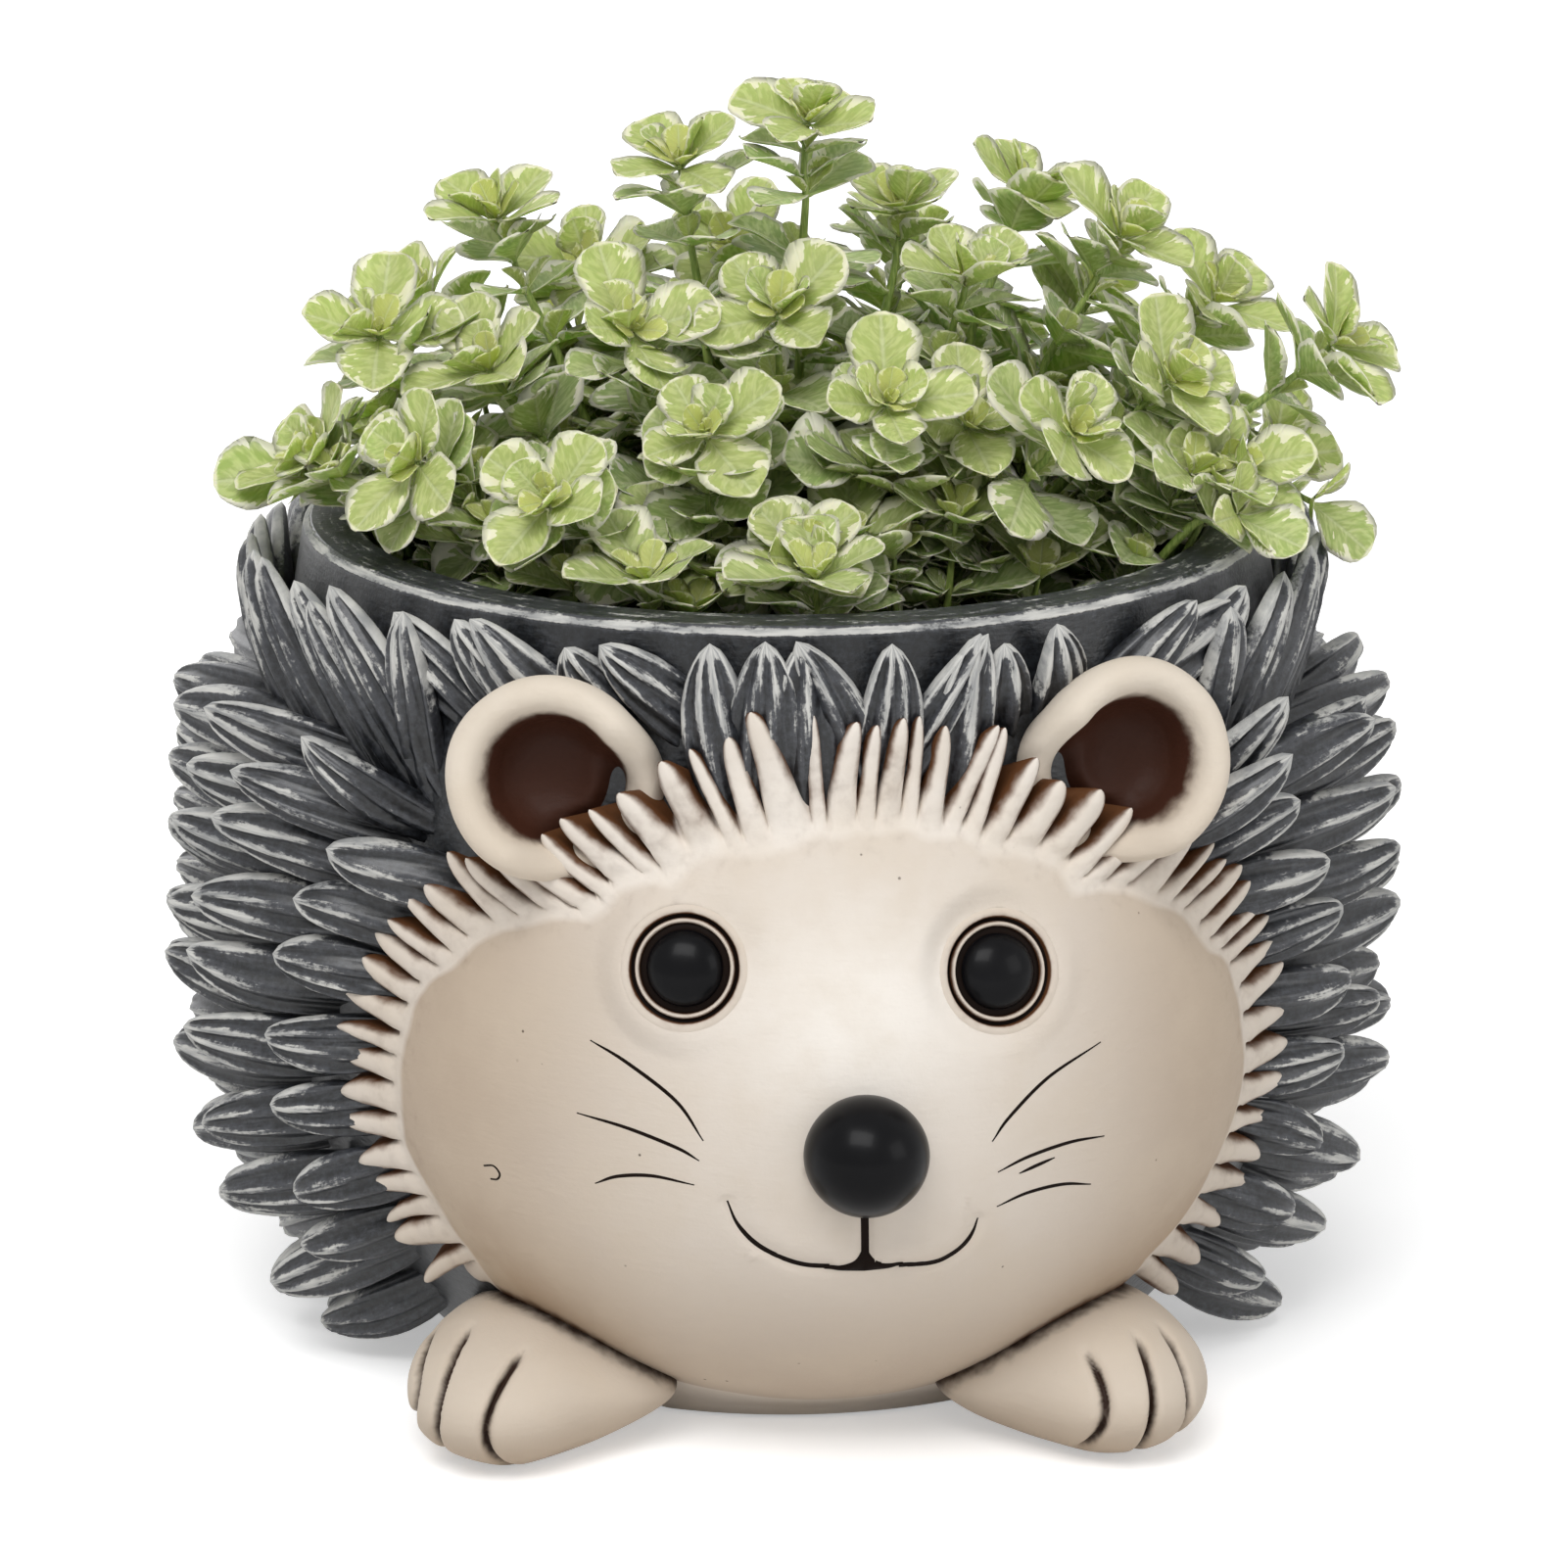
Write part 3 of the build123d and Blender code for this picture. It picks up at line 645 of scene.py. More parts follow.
def lockPlan(skin, lock, longLock, rng):
    # one lock's tip, directions, size and how far its gap reaches into the face
    first = face["perLock"] * lock
    middle, after = first + face["perLock"] // 2, first + face["perLock"]
    edge = skin[middle, -1]
    normal = wallNormal(edge)
    around = unit(skin[after % len(skin), -1] - skin[first, -1])
    out = np.cross(around, normal)
    out *= np.sign(out @ (edge - skin[middle, -8]))
    height, halfWidth, halfHeight = face["middle"]
    upwards = math.sin(math.atan2((edge[2] - height) / halfHeight, edge[0] / halfWidth))
    upright = upwards**2
    reach = np.interp(upright, [0, 1], face["reach"]) * rng.uniform(0.78, 1.2)
    lift = np.interp(upright, [0, 1], face["lift"]) * rng.uniform(0.85, 1.08)
    lean = rng.uniform(-0.28, 0.28)
    if lock == longLock:
        reach, lift, lean = (face["longLock"][name] for name in ("reach", "lift", "lean"))
    nearEar = 1 - smoothStep(13, 24, gapToPair(edge, earOnFace))
    reach, lift = reach * (1 - 0.5 * nearEar), lift + 2.0 * nearEar
    strength = smoothStep(17, 20, gapToPair(turned(edge), pawMiddle)) * (upwards > -0.84)
    return {"tip": edge + out * reach + normal * lift + around * lean * reach,
            "tipWay": unit(out + 0.25 * normal + around * lean), "normal": normal, "out": out,
            "strength": float(strength),
            "depth": face["fringeDepth"] * (1 + 0.35 * nearEar) * rng.uniform(0.85, 1.2),
            "gapStart": rng.uniform(0.0, 0.22), "open": rng.uniform(0.14, 0.34),
            "stain": rng.uniform(0, 0.22) * (0.35 + 0.65 * (upright if edge[2] > height else 0))}


def overColumns(values):
    # a value of each lock, blended across its columns
    ends = (np.array(values) + np.roll(values, 1)) / 2
    places = np.arange(len(values) * face["perLock"]) / face["perLock"]
    return np.interp(places, np.arange(len(values) + 1), np.append(ends, ends[0]))


def growLock(first, plan, t, base, chin, start, startWay, points, low):
    # one row of points across a lock and its gap, at a share t of the way to the tip
    columns = first + np.arange(face["perLock"])
    normal, out, tip = plan["normal"], plan["out"], plan["tip"]
    grown, gapStart = plan["strength"], plan["gapStart"]
    past = max(t - face["edgeShare"], 0) / (1 - face["edgeShare"])
    opening = smoothStep(gapStart, gapStart + 0.4, t) * grown
    span = lengths(tip - start)
    bezier = np.array([start, start + startWay * span * 0.36, tip - plan["tipWay"] * span * 0.3, tip])
    line = np.array([(1 - t) ** 3, 3 * t * (1 - t) ** 2, 3 * t * t * (1 - t), t**3]) @ bezier
    ahead = np.array([-((1 - t) ** 2), (1 - t) * (1 - 3 * t), t * (2 - 3 * t), t * t]) @ bezier
    chord = base[(first + face["perLock"]) % len(base)] - base[first]
    half, chord = lengths(chord) / 2, unit(chord)
    up = np.cross(chord, unit(ahead))
    up *= np.sign(up @ normal)
    width = 1 - plan["open"] * smoothStep(gapStart - 0.1, gapStart + 0.55, t)
    width *= max(1 - max((t - 0.58) / 0.42, 0) ** 2.3, 0.004) ** 0.52
    settle = smoothStep(0, 0.3, t) * grown
    lane = face["rootLanes"] + (face["tipLanes"] - face["rootLanes"]) * smoothStep(0, 0.25, t)
    dome = face["dome"] * smoothStep(0, 0.4, t) * min(half / 3, 1.3)
    rise = dome * (0.6 - np.abs(lane) ** 2.4)
    sides = [1, -1]
    rise[sides] = -(0.6 * dome + face["gapDepth"] * opening * math.sqrt(1.12 - t))
    lane[sides] *= 0.97
    wanted = line + offset((lane * half * width, chord), (rise * min(width * 1.6, 1), up))
    tuck = past * (1 - chin[columns])
    plain = base[columns] + offset((face["tuck"] * tuck, out - normal))
    points[columns] = plain + (wanted - plain) * settle
    midway = settle * smoothStep(0.2, 0.45, t) * (1 - smoothStep(0.7, 0.9, t))
    atRoot = face["washAtGap"] * grown * (1 - smoothStep(0.35, 0.9, t))
    low[columns] = np.maximum(opening * face["sideWash"], atRoot)
    low[columns] += plan["stain"] * face["middleWash"] * midway
    sunk = face["gapDepth"] * opening * (1 - 0.6 * past)
    points[first] = base[first] + out * face["tuck"] * tuck[0] - normal * (sunk + 1.8 * tuck[0])
    low[first] = max(opening, face["washAtGap"] * grown)


def buildFace():
    rng = np.random.default_rng(5)
    skin, longLock = skinProfiles(treeOf(cadMesh("face_mask")), rng)
    columns = len(skin)
    run = np.concatenate([np.zeros((columns, 1)), np.cumsum(lengths(np.diff(skin, axis=1)), axis=1)], 1)
    plans = [lockPlan(skin, lock, longLock, rng) for lock in range(face["locks"])]
    power, deep = (overColumns([plan[name] for plan in plans]) for name in ("strength", "depth"))
    chin = smoothStep(15, 8, skin[:, -1, 2])
    foot = skin[:, -1] / lengths(skin[:, -1, :2])[:, None] * (wall["foot"] + 2.2)
    foot[:, 2] = 0.5
    zone = (face["chinDepth"] + 4.5 * chin) * (1 - power) + deep * power
    zone *= 1 + 0.25 * bumps(np.arange(columns)[:, None] * (1 / 14, 0, 0), 1.0, 3)
    bare = run[:, -1] - zone
    rows, low = [], []
    for share in np.linspace(0, 1, face["rings"]):
        rows.append(shapeSkin(followSkin(skin, run, face["firstRing"] + share * (bare - face["firstRing"]))))
        low.append(face["washAtGap"] * smoothStep(0.82, 1.0, share) * power)
    inner = rows[-1]
    innerWay = followSkin(skin, run, bare + 1.0) - inner
    innerWay /= lengths(innerWay)[:, None]
    for s in np.linspace(0, 1, face["lockRows"] + 1)[1:]:
        t = 1 - (1 - s) ** 1.3
        base = followSkin(skin, run, bare + zone * min(t / face["edgeShare"], 1))
        base += (foot - base) * (chin * smoothStep(0, 1, t))[:, None]
        points, rowLow = base.copy(), np.zeros(columns)
        for lock, plan in enumerate(plans):
            first = face["perLock"] * lock
            middle = first + face["perLock"] // 2
            growLock(first, plan, t, base, chin, inner[middle], innerWay[middle], points, rowLow)
        rows.append(points)
        low.append(rowLow)
    points, low = np.concatenate(rows), np.concatenate(low)
    points[:, 2] = np.maximum(points[:, 2], face["ground"])
    x, _, z = points.T
    # painted highlight in the middle of the face, painted shade towards the chin and the sides; the locks
    # take half as much
    paintedHighlight = np.exp(-((x / 19) ** 2) - ((z - 79) / 17) ** 2)
    shade = 0.42 * (1 - paintedHighlight + smoothStep(52, 6, z) + smoothStep(22, 62, np.abs(x)))
    shade[face["rings"] * columns :] *= 0.5
    faces = [corner[::-1] for corner in gridFaces(len(rows), columns, closed=True)]
    # the wash mark with painted shade added round the eyes, under the nose and against the paws
    marks = {"low": np.clip(low + paintedContactShade(points), 0, 1), "shade": shade}
    return addPiece("faceAndFringe", fromHead(points), faces, creamFace, marks,
                    stands=["face_mask", "face_fringe"])


def noseSeat():
    # middle and radius of the nose ball, whose back is cut off by the face
    low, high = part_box("nose")
    radius = (high.z - low.z) / 2
    return inHead(((low.x + high.x) / 2, low.y + 1.012 * radius, (low.z + high.z) / 2)), radius / mm


def paintedContactShade(points):
    # painted shade in brown round the eyes' rims, under the nose and where the face meets the paws
    rings = [(lengths(points - seat) - 9.0) / 0.9 for seat, _ in eyeSeats.values()]
    amount = sum(0.5 * np.exp(-(ring**2)) for ring in rings)
    gap = lengths(points - noseSeat()[0]) - 9.6
    amount += 0.45 * np.exp(-((gap / 1.3) ** 2)) * smoothStep(64, 56, points[:, 2])
    for node in ("left_paw", "right_paw"):
        amount += 0.75 * touch(treeOf(cadMesh(node)), fromHead(points), points[:, 2] < 32) ** 1.5
    return amount


faceSkin = buildFace()
print("face and fringe ready")

# lines engraved and painted on the face, as places seen from the front
ink = {
    "rows": 36,
    "lift": 0.05,
    "clear": 0.012,
    "whiskerWidth": 0.62,
    "smileWidth": 0.85,
    "stemWidth": 1.25,
    "chipWidth": 0.32,
    # place across a stroke and its height there
    "ridge": ((0, 0), (0.25, 0.8), (0.5, 1), (0.75, 0.8), (1, 0)),
    "flare": {"from": -5.2, "to": 7.0, "middle": 0.9, "rows": 41, "lift": 0.3, "clear": 0.02},
}
whiskers = [
    [(-39.9, 74.1), (-34.5, 71.3), (-27.4, 66.1), (-23.5, 60.3)],
    [(-42.0, 62.2), (-34.6, 60.9), (-27.4, 58.7), (-24.1, 57.0)],
    [(-39.3, 50.8), (-36.0, 52.6), (-31.0, 53.5), (-24.8, 52.9)],
    [(39.1, 71.1), (30.3, 67.4), (23.8, 62.3), (20.9, 58.8)],
    [(40.0, 55.5), (34.0, 55.9), (27.0, 55.1), (21.9, 53.6)],
    [(31.5, 53.9), (28.5, 53.3), (25.5, 52.6)],
    [(38.0, 47.6), (33.0, 48.9), (27.0, 48.9), (21.9, 47.7)],
]
cheekChip = [(-55.6, 50.0), (-54.2, 50.4), (-53.3, 49.3), (-53.6, 48.2), (-54.6, 47.9)]


def onFace(tree, x, z, lift):
    # point on the face under a place seen from the front
    start, way = fromHead((x, -160, z)), turned((0, 1, 0))
    spot, normal, _, _ = tree.ray_cast(Vector(start), Vector(way))
    normal = np.array(normal) * (1 if normal.dot(Vector(way)) < 0 else -1)
    return np.array(spot) + normal * lift * mm


def paintBand(tree, starts, ends, lift, clear):
    # a low ridge of paint between two lines of places
    return [onFace(tree, *(start + (end - start) * share), lift * rise + clear)
            for start, end in zip(starts, ends) for share, rise in ink["ridge"]]


def inkLine(tree, line, width):
    line = readCurve(line, ink["rows"])
    ways = np.gradient(line, axis=0)
    half = np.stack([-ways[:, 1], ways[:, 0]], 1) / lengths(ways)[:, None] * np.reshape(width, (-1, 1)) / 2
    return paintBand(tree, line - half, line + half, ink["lift"], ink["clear"])


def buildInk():
    tree, along, flare = treeOf(faceSkin.data), np.linspace(0, 1, ink["rows"]), ink["flare"]
    whiskerWidth = ink["whiskerWidth"] * np.sin(np.pi * np.clip(along, 0.04, 0.96)) ** 0.5
    smileWidth = ink["smileWidth"] * (0.35 + 0.65 * smoothStep(0, 0.4, along))
    strips = [inkLine(tree, line, whiskerWidth) for line in whiskers]
    strips += [inkLine(tree, line, smileWidth) for line in (mouthLeft, mouthRight)]
    strips += [inkLine(tree, mouthStem, ink["stemWidth"]), inkLine(tree, cheekChip, ink["chipWidth"])]
    x = np.linspace(flare["from"], flare["to"], flare["rows"])
    off = np.abs(x - flare["middle"])
    bottom = 39.4 + 0.05 * off
    top = np.maximum(40.1 + 2.9 * np.exp(-off / 1.1) + 1.6 / (1 + off), bottom + 0.3)
    edges = [np.stack([x, height], 1) for height in (bottom, top)]
    strips.append(paintBand(tree, *edges, flare["lift"], flare["clear"]))
    points, faces, across = [], [], len(ink["ridge"])
    for strip in strips:
        faces += gridFaces(len(strip) // across, across, len(points))
        points += strip
    addPiece("mouthAndWhiskers", points, faces, darkInk)


buildInk()

# eyes and nose
eye = {
    "lip": [(10.3, -0.5), (9.7, 0.02), (9.15, 0.2), (8.65, 0.12), (8.4, -0.2), (8.3, -1.5)],
    "floor": [(8.5, -0.9), (7.9, -1.15), (7.4, -1.1), (6.6, -0.85), (5.7, -0.8), (4.8, -1.2)],
    "ring": [(7.75, -1.0), (7.62, -0.35), (7.35, -0.08), (7.05, -0.3), (6.9, -0.95)],
    # rows and how brown they are
    "lipWash": ([0, 6, 12, 16, 21], [0.1, 0.15, 0.3, 0.8, 1]),
    "ringWash": ([0, 4, 8, 12, 15], [1, 0.5, 0.1, 0.5, 1]),
    "noWash": ([0], [0]),
    "domeRadius": 5.9,
    "domeRise": 3.5,
    "domeSunk": 0.9,
    "domeFoot": -1.6,
    "segments": 72,
}
nose = {"rows": 40, "segments": 80, "flatten": 0.97, "uneven": 0.012, "lumps": 9.0}


def buildEyes():
    angle = np.linspace(0, np.pi / 2, 22)
    dome = np.stack([eye["domeRadius"] * np.sin(angle), eye["domeRise"] * np.cos(angle) - eye["domeSunk"]], 1)
    dome = np.vstack([dome, (eye["domeRadius"], eye["domeFoot"])])
    for node, (seat, axis) in eyeSeats.items():
        for part, profile, material, slot, wash in (
            ("Lip", readCurve(eye["lip"], 22), creamFace, "cream_face", eye["lipWash"]),
            ("Floor", readCurve(eye["floor"], 16), darkInk, "black_gloss", eye["noWash"]),
            ("Ring", readCurve(eye["ring"], 16), creamFace, "cream_face", eye["ringWash"]),
            ("Dome", dome, blackGloss, "black_gloss", eye["noWash"]),
        ):
            points, faces = latheForm(profile, seat, axis, eye["segments"])
            low = np.repeat(np.interp(np.arange(len(profile)), *wash), eye["segments"])[-len(points) :]
            marks = {"low": low, "shade": np.full(len(points), 0.5)}
            addPiece(node.split("_")[0] + "Eye" + part, fromHead(points), faces, material, marks,
                     stands=[node] if part == "Dome" else ())


def buildNose():
    middle, radius = noseSeat()
    angle = np.linspace(0, np.pi, nose["rows"])
    profile = np.stack([np.sin(angle), np.cos(angle)], 1) * radius
    points, faces = latheForm(profile, (0, 0, 0), (0, -1, 0.0001), nose["segments"])
    points *= (1, 1, nose["flatten"])
    points *= (1 + nose["uneven"] * bumps(points, nose["lumps"], 4))[:, None]
    addPiece("noseBall", fromHead(points + middle), faces, blackGloss, stands=["nose"])


buildEyes()
buildNose()
print("eyes, nose and mouth ready")

# ears
ear = {
    "axis": (0.30, -0.92, 0.16),
    "profile": [(0, -15), (6, -14.2), (11, -11.3), (14.8, -6.5), (16.4, -1.5), (16.3, 1.2), (15.2, 3.0),
                (13.4, 3.3), (11.7, 2.2), (10.4, -0.6), (9.0, -4.2), (6.4, -7.2), (3, -8.5), (0, -8.8)],
    "rows": 64,
    "segments": 96,
    "rollHeight": 3.2,
    "sunk": 8.5,
    "uneven": 0.021,
    "dents": 0.35,
}


def buildEars():
    for node, side in (("left_ear", 1), ("right_ear", -1)):
        seat, axis, across, front = seatOf(node, ear["axis"] * np.array((side, 1, 1)), ear["rollHeight"])
        points, faces = latheForm(readCurve(ear["profile"], ear["rows"]), (0, 0, 0), axis, ear["segments"])
        height = points @ axis
        flat = points - height[:, None] * axis
        radius = lengths(flat)
        points -= flat * (ear["uneven"] * (1 + bumps(points, 11.0, 3 + side)) * (radius > 9))[:, None]
        points += offset((ear["dents"] * bumps(points, 8.0, 6 + side) * (1 - smoothStep(2, 5, height)), axis))
        inner = unit(-0.8 * side * np.sign(across[0]) * across - 0.6 * np.sign(front[2]) * front)
        toFace = (flat @ inner) / np.maximum(radius, 1)
        points -= offset((ear["sunk"] * smoothStep(0.15, 0.9, toFace) * smoothStep(5, 11, radius), axis))
        inside = height > -10
        hollow = (1 - smoothStep(9.4, 11.6, radius)) * inside
        # painted shade and light: the hollow's brown is heavier deep in and lighter on its lower side, and
        # the shade mark darkens the lower side and the hollow
        lower = smoothStep(4, -14, flat @ front)
        low = hollow * (0.85 + 0.15 * smoothStep(0, -6, height) - 0.2 * lower)
        low += 0.18 * (1 - smoothStep(10.5, 13.5, radius)) * inside
        marks = {"low": np.clip(low, 0, 1), "shade": 0.25 * lower + 0.5 * hollow}
        addPiece("earLeft" if side > 0 else "earRight", fromHead(points + seat), faces, creamEar,
                 marks, stands=[node])


buildEars()

# paws
paw = {
    "half": np.array((17.5, 27.0, 12.0)),
    "turn": 20,
    "ground": 0.4,
    "rows": 84,
    "columns": 150,
    "poleGap": 0.03,
    "depth": 1.7,
    "spread": 0.62,
    "uneven": 0.3,
    # toe grooves: place across, how it drifts backwards, where it starts behind the middle
    "grooves": {1: [(6.9, 0.0, -13.5), (0.1, 0.15, -16.5), (-7.7, 0.0, -16.5)],
                -1: [(-11.3, -0.19, -0.5), (-6.2, 0.0, -10.5), (3.2, 0.17, -15.5)]},
}


def buildPaws():
    tree = treeOf(faceSkin.data)
    tilt = np.linspace(paw["poleGap"], np.pi - paw["poleGap"], paw["rows"])
    angle = np.linspace(0, 2 * np.pi, paw["columns"], endpoint=False)
    bare = spokes(*np.meshgrid(tilt, angle, indexing="ij")).reshape(-1, 3)
    normal = bare / paw["half"]
    normal /= lengths(normal)[:, None]
    for node, side in (("left_paw", 1), ("right_paw", -1)):
        points = bare * paw["half"]
        x, y, z = points.T
        groove = np.zeros(len(points))
        for across, drift, start in paw["grooves"][side]:
            gap = np.abs(x - across - drift * (y + 23) - 0.5 * np.sin(z / 5)) / paw["spread"]
            groove = np.maximum(groove, np.exp(-(gap**1.8)) * smoothStep(start + 2.5, start - 4.0, y))
        toes = smoothStep(-8, -20, y)
        inner = np.clip(-x * side / paw["half"][0], 0, 1) ** 2 * np.exp(-(((y - 3) / 13) ** 2))
        points = points - offset((paw["depth"] * groove - 0.25 * toes * (1 - groove), normal))
        points += offset((paw["uneven"] * bumps(points, 9.0, 8 + side), normal))
        points[:, 0] *= 1 + 0.4 * inner
        points[:, 2] -= 3.0 * inner * smoothStep(-6, 8, points[:, 2])
        points[:, 2] = np.maximum(points[:, 2], paw["ground"] - pawMiddle[2])
        spin = np.array(Matrix.Rotation(math.radians(paw["turn"] * side), 3, "Z"))
        points = points @ spin.T + pawMiddle * np.array((side, 1, 1))
        # brown wash in the toe grooves; painted shade where the paw meets the face, and the shade mark
        # darkens it towards the ground as painted shade
        low = np.maximum(groove**0.8, 0.8 * touch(tree, points * mm, points[:, 1] > -84))
        marks = {"low": np.clip(low, 0, 1), "shade": 0.55 * smoothStep(15, 0, points[:, 2]) + 0.3}
        addPiece("pawLeft" if side > 0 else "pawRight", points * mm, cappedTube(paw["rows"], paw["columns"]),
                 creamPaw, marks, stands=[node])


buildPaws()
print("ears and paws ready")

# quills
quill = {
    "upperColumns": 23,
    "lowerColumns": 6,
    "rows": 14,
    # places along a quill and its width there
    "swell": ([0, 0.25, 0.42, 0.62, 0.78, 0.88, 0.95, 1], [0.78, 0.96, 1.0, 0.88, 0.67, 0.46, 0.27, 0.0]),
    "widen": 1.02,
    "depth": 3.1 * mm,
    "bow": 1.4 * mm,
    "groove": 0.75 * mm,
    "sink": 2.5 * mm,
    "wholeCorners": 23,  # of a CAD quill that nothing cuts short
    "fillHeights": np.arange(9, 123, 3.0),
    "fillTurns": np.arange(0, 360, 3.0),
    "fillUpright": 108,  # height where the added ones turn upright
    "fillSpacing": 8.6 * mm,
    "fillLength": 22 * mm,
    "fillShortest": 9 * mm,
    "fillHalfWidth": 4.9 * mm,
    "topTip": 0.1356,
    "collarReach": 6 * mm,
    "ground": 0.3 * mm,
    "collarFront": 0.95,
    "collarSpacing": 9.6 * mm,
    "earHalfTurn": 0.27,
    "rootOverEar": 0.1255,
}


def farthest(corners):
    # the two corners that are farthest apart
    return max(((a, b) for a in corners for b in corners), key=lambda pair: np.linalg.norm(pair[0] - pair[1]))


def readQuill(corners):
    # root, tip, outward direction and half width of a CAD quill: a root outline, a wider one and a tip
    tip = corners[np.argmax(lengths(corners - corners.mean(0)))]
    far = np.argsort(lengths(corners - tip))
    ring = (len(corners) - 1) // 2
    root, belly = corners[far[-ring:]], corners[far[1 : ring + 1]]
    centre = root.mean(0)
    outward = np.linalg.svd(root - centre)[2][2]
    a, b = farthest(belly)
    return centre, tip, outward * np.sign(outward @ (tip - centre)), lengths(a - b) / 2


def quillPoints(root, tip, outward, halfWidth, rng):
    # a quill's points, how high each lies on a ridge, and its place along and across
    length, along = lengths(tip - root), unit(tip - root)
    across = unit(np.cross(along, outward))
    up = np.cross(across, along)
    over = np.linspace(-0.3, np.pi + 0.3, quill["upperColumns"])
    under = np.linspace(np.pi + 0.3, 2 * np.pi - 0.3, quill["lowerColumns"] + 2)[1:-1]
    s, angle = np.meshgrid(np.linspace(0, 1, quill["rows"]) ** 0.8, np.append(over, under), indexing="ij")
    swell, u = np.interp(s, *quill["swell"]), np.cos(angle)
    ridges = rng.choice([2, 3, 3])
    twist = 0.22 * np.sin(4 * s + rng.uniform(0, 6)) * (1 - u * u)
    wave = np.cos(np.pi * ridges * (u + 1 + twist))
    fade = smoothStep(0.02, 0.2, s) * (1 - smoothStep(0.84, 0.98, s))
    upper = np.sin(angle) > -0.32
    depth = quill["depth"] * swell**0.7 * np.where(upper, 1.0, 0.6)
    lift = np.sin(angle) * depth + quill["groove"] * wave * fade * upper * np.clip(np.sin(angle) + 0.5, 0, 1)
    bow = quill["bow"] * np.sin(np.pi * s) * rng.uniform(0.5, 1.4)
    sway = rng.uniform(-1.3, 1.3) * mm * np.sin(np.pi * s)
    slope = max(float(along @ outward), 0.3)
    sunk = (1 - s) ** 2 * (quill["sink"] + lift * (up @ outward)) / slope
    reach = s * length * rng.uniform(0.95, 1.0) - sunk
    half = halfWidth * quill["widen"] * rng.uniform(0.94, 1.08)
    points = root + offset((reach, along), (u * half * swell + sway, across), (lift + bow, up))
    points[..., 2] = np.maximum(points[..., 2], quill["ground"])
    ridge = np.where(upper, 0.5 + 0.5 * wave, 0.1) * (0.12 + 0.88 * smoothStep(0.2, 0.75, s))
    ridge = np.maximum(ridge, 1.05 * smoothStep(0.86, 0.95, s) * upper)
    return points.reshape(-1, 3), (ridge * rng.uniform(0.66, 1.08)).ravel(), s.ravel(), u.ravel()


def inCoat(place):
    # whether a quill could stand at a place on the wall: clear of the face, ears and paws
    spot = inHead(place)
    height, halfWidth, halfHeight = face["middle"]
    if spot[1] < 0 and math.hypot(spot[0] / halfWidth, (spot[2] - height) / halfHeight) < 1.06:
        return False
    return gapToPair(spot, earOnWall) >= 15 and gapToPair(place / mm, pawMiddle) > 30


def fillQuills(seats, rng):
    # quills in the gaps between those of the CAD rows, each leaning as its neighbours do
    seatRoots = np.array([seat[0] for seat in seats])
    roots, added = list(seatRoots), []
    for height in quill["fillHeights"]:
        arc, middle = wallArc(height)
        radius = middle + math.sqrt(arc**2 - (height - wall["bellyHeight"]) ** 2)
        for turn in quill["fillTurns"]:
            spin = math.radians(turn + rng.uniform(-1, 1))
            place = np.array([radius * math.cos(spin), radius * math.sin(spin), height]) * mm
            beside = height > 84 and place[1] < -0.04 and abs(place[0]) < 0.056
            if beside or not inCoat(place) or lengths(np.array(roots) - place).min() < quill["fillSpacing"]:
                continue
            outward, way = wallNormal(place / mm), np.zeros(3)
            for i in np.argsort(lengths(seatRoots - place))[:4]:
                root, tip, other, _ = seats[i]
                lean = unit(tip - root)
                away = lean - other * (lean @ other)
                away -= outward * (away @ outward)
                way += away / (lengths(root - place) + 3 * mm)
            if height > quill["fillUpright"]:
                way += (0, 0, 90.0)
            way = unit(way - outward * (way @ outward))
            steep = 0.62 if height < quill["fillUpright"] else 0.42
            lean = unit(way * math.sqrt(1 - steep**2) + outward * steep)
            length = quill["fillLength"] * rng.uniform(0.85, 1.05)
            if place[2] + lean[2] * length > quill["topTip"]:
                length = (quill["topTip"] - place[2]) / lean[2]
            tip = place + lean * length
            if length < quill["fillShortest"] or tip[2] < 3 * mm:
                continue
            roots.append(place)
            added.append((place, tip, outward, quill["fillHalfWidth"] * rng.uniform(0.85, 1.05)))
    return added


def collarSeat(corners):
    # a collar quill as azimuth, radius and height of its root and tip, and its half width
    root, tip, _, halfWidth = readQuill(corners)
    spots = [(math.atan2(p[0], -p[1]), math.hypot(p[0], p[1]), p[2]) for p in (root, tip)]
    return np.array([*spots[0], spots[1][0] - spots[0][0], *spots[1][1:], halfWidth])


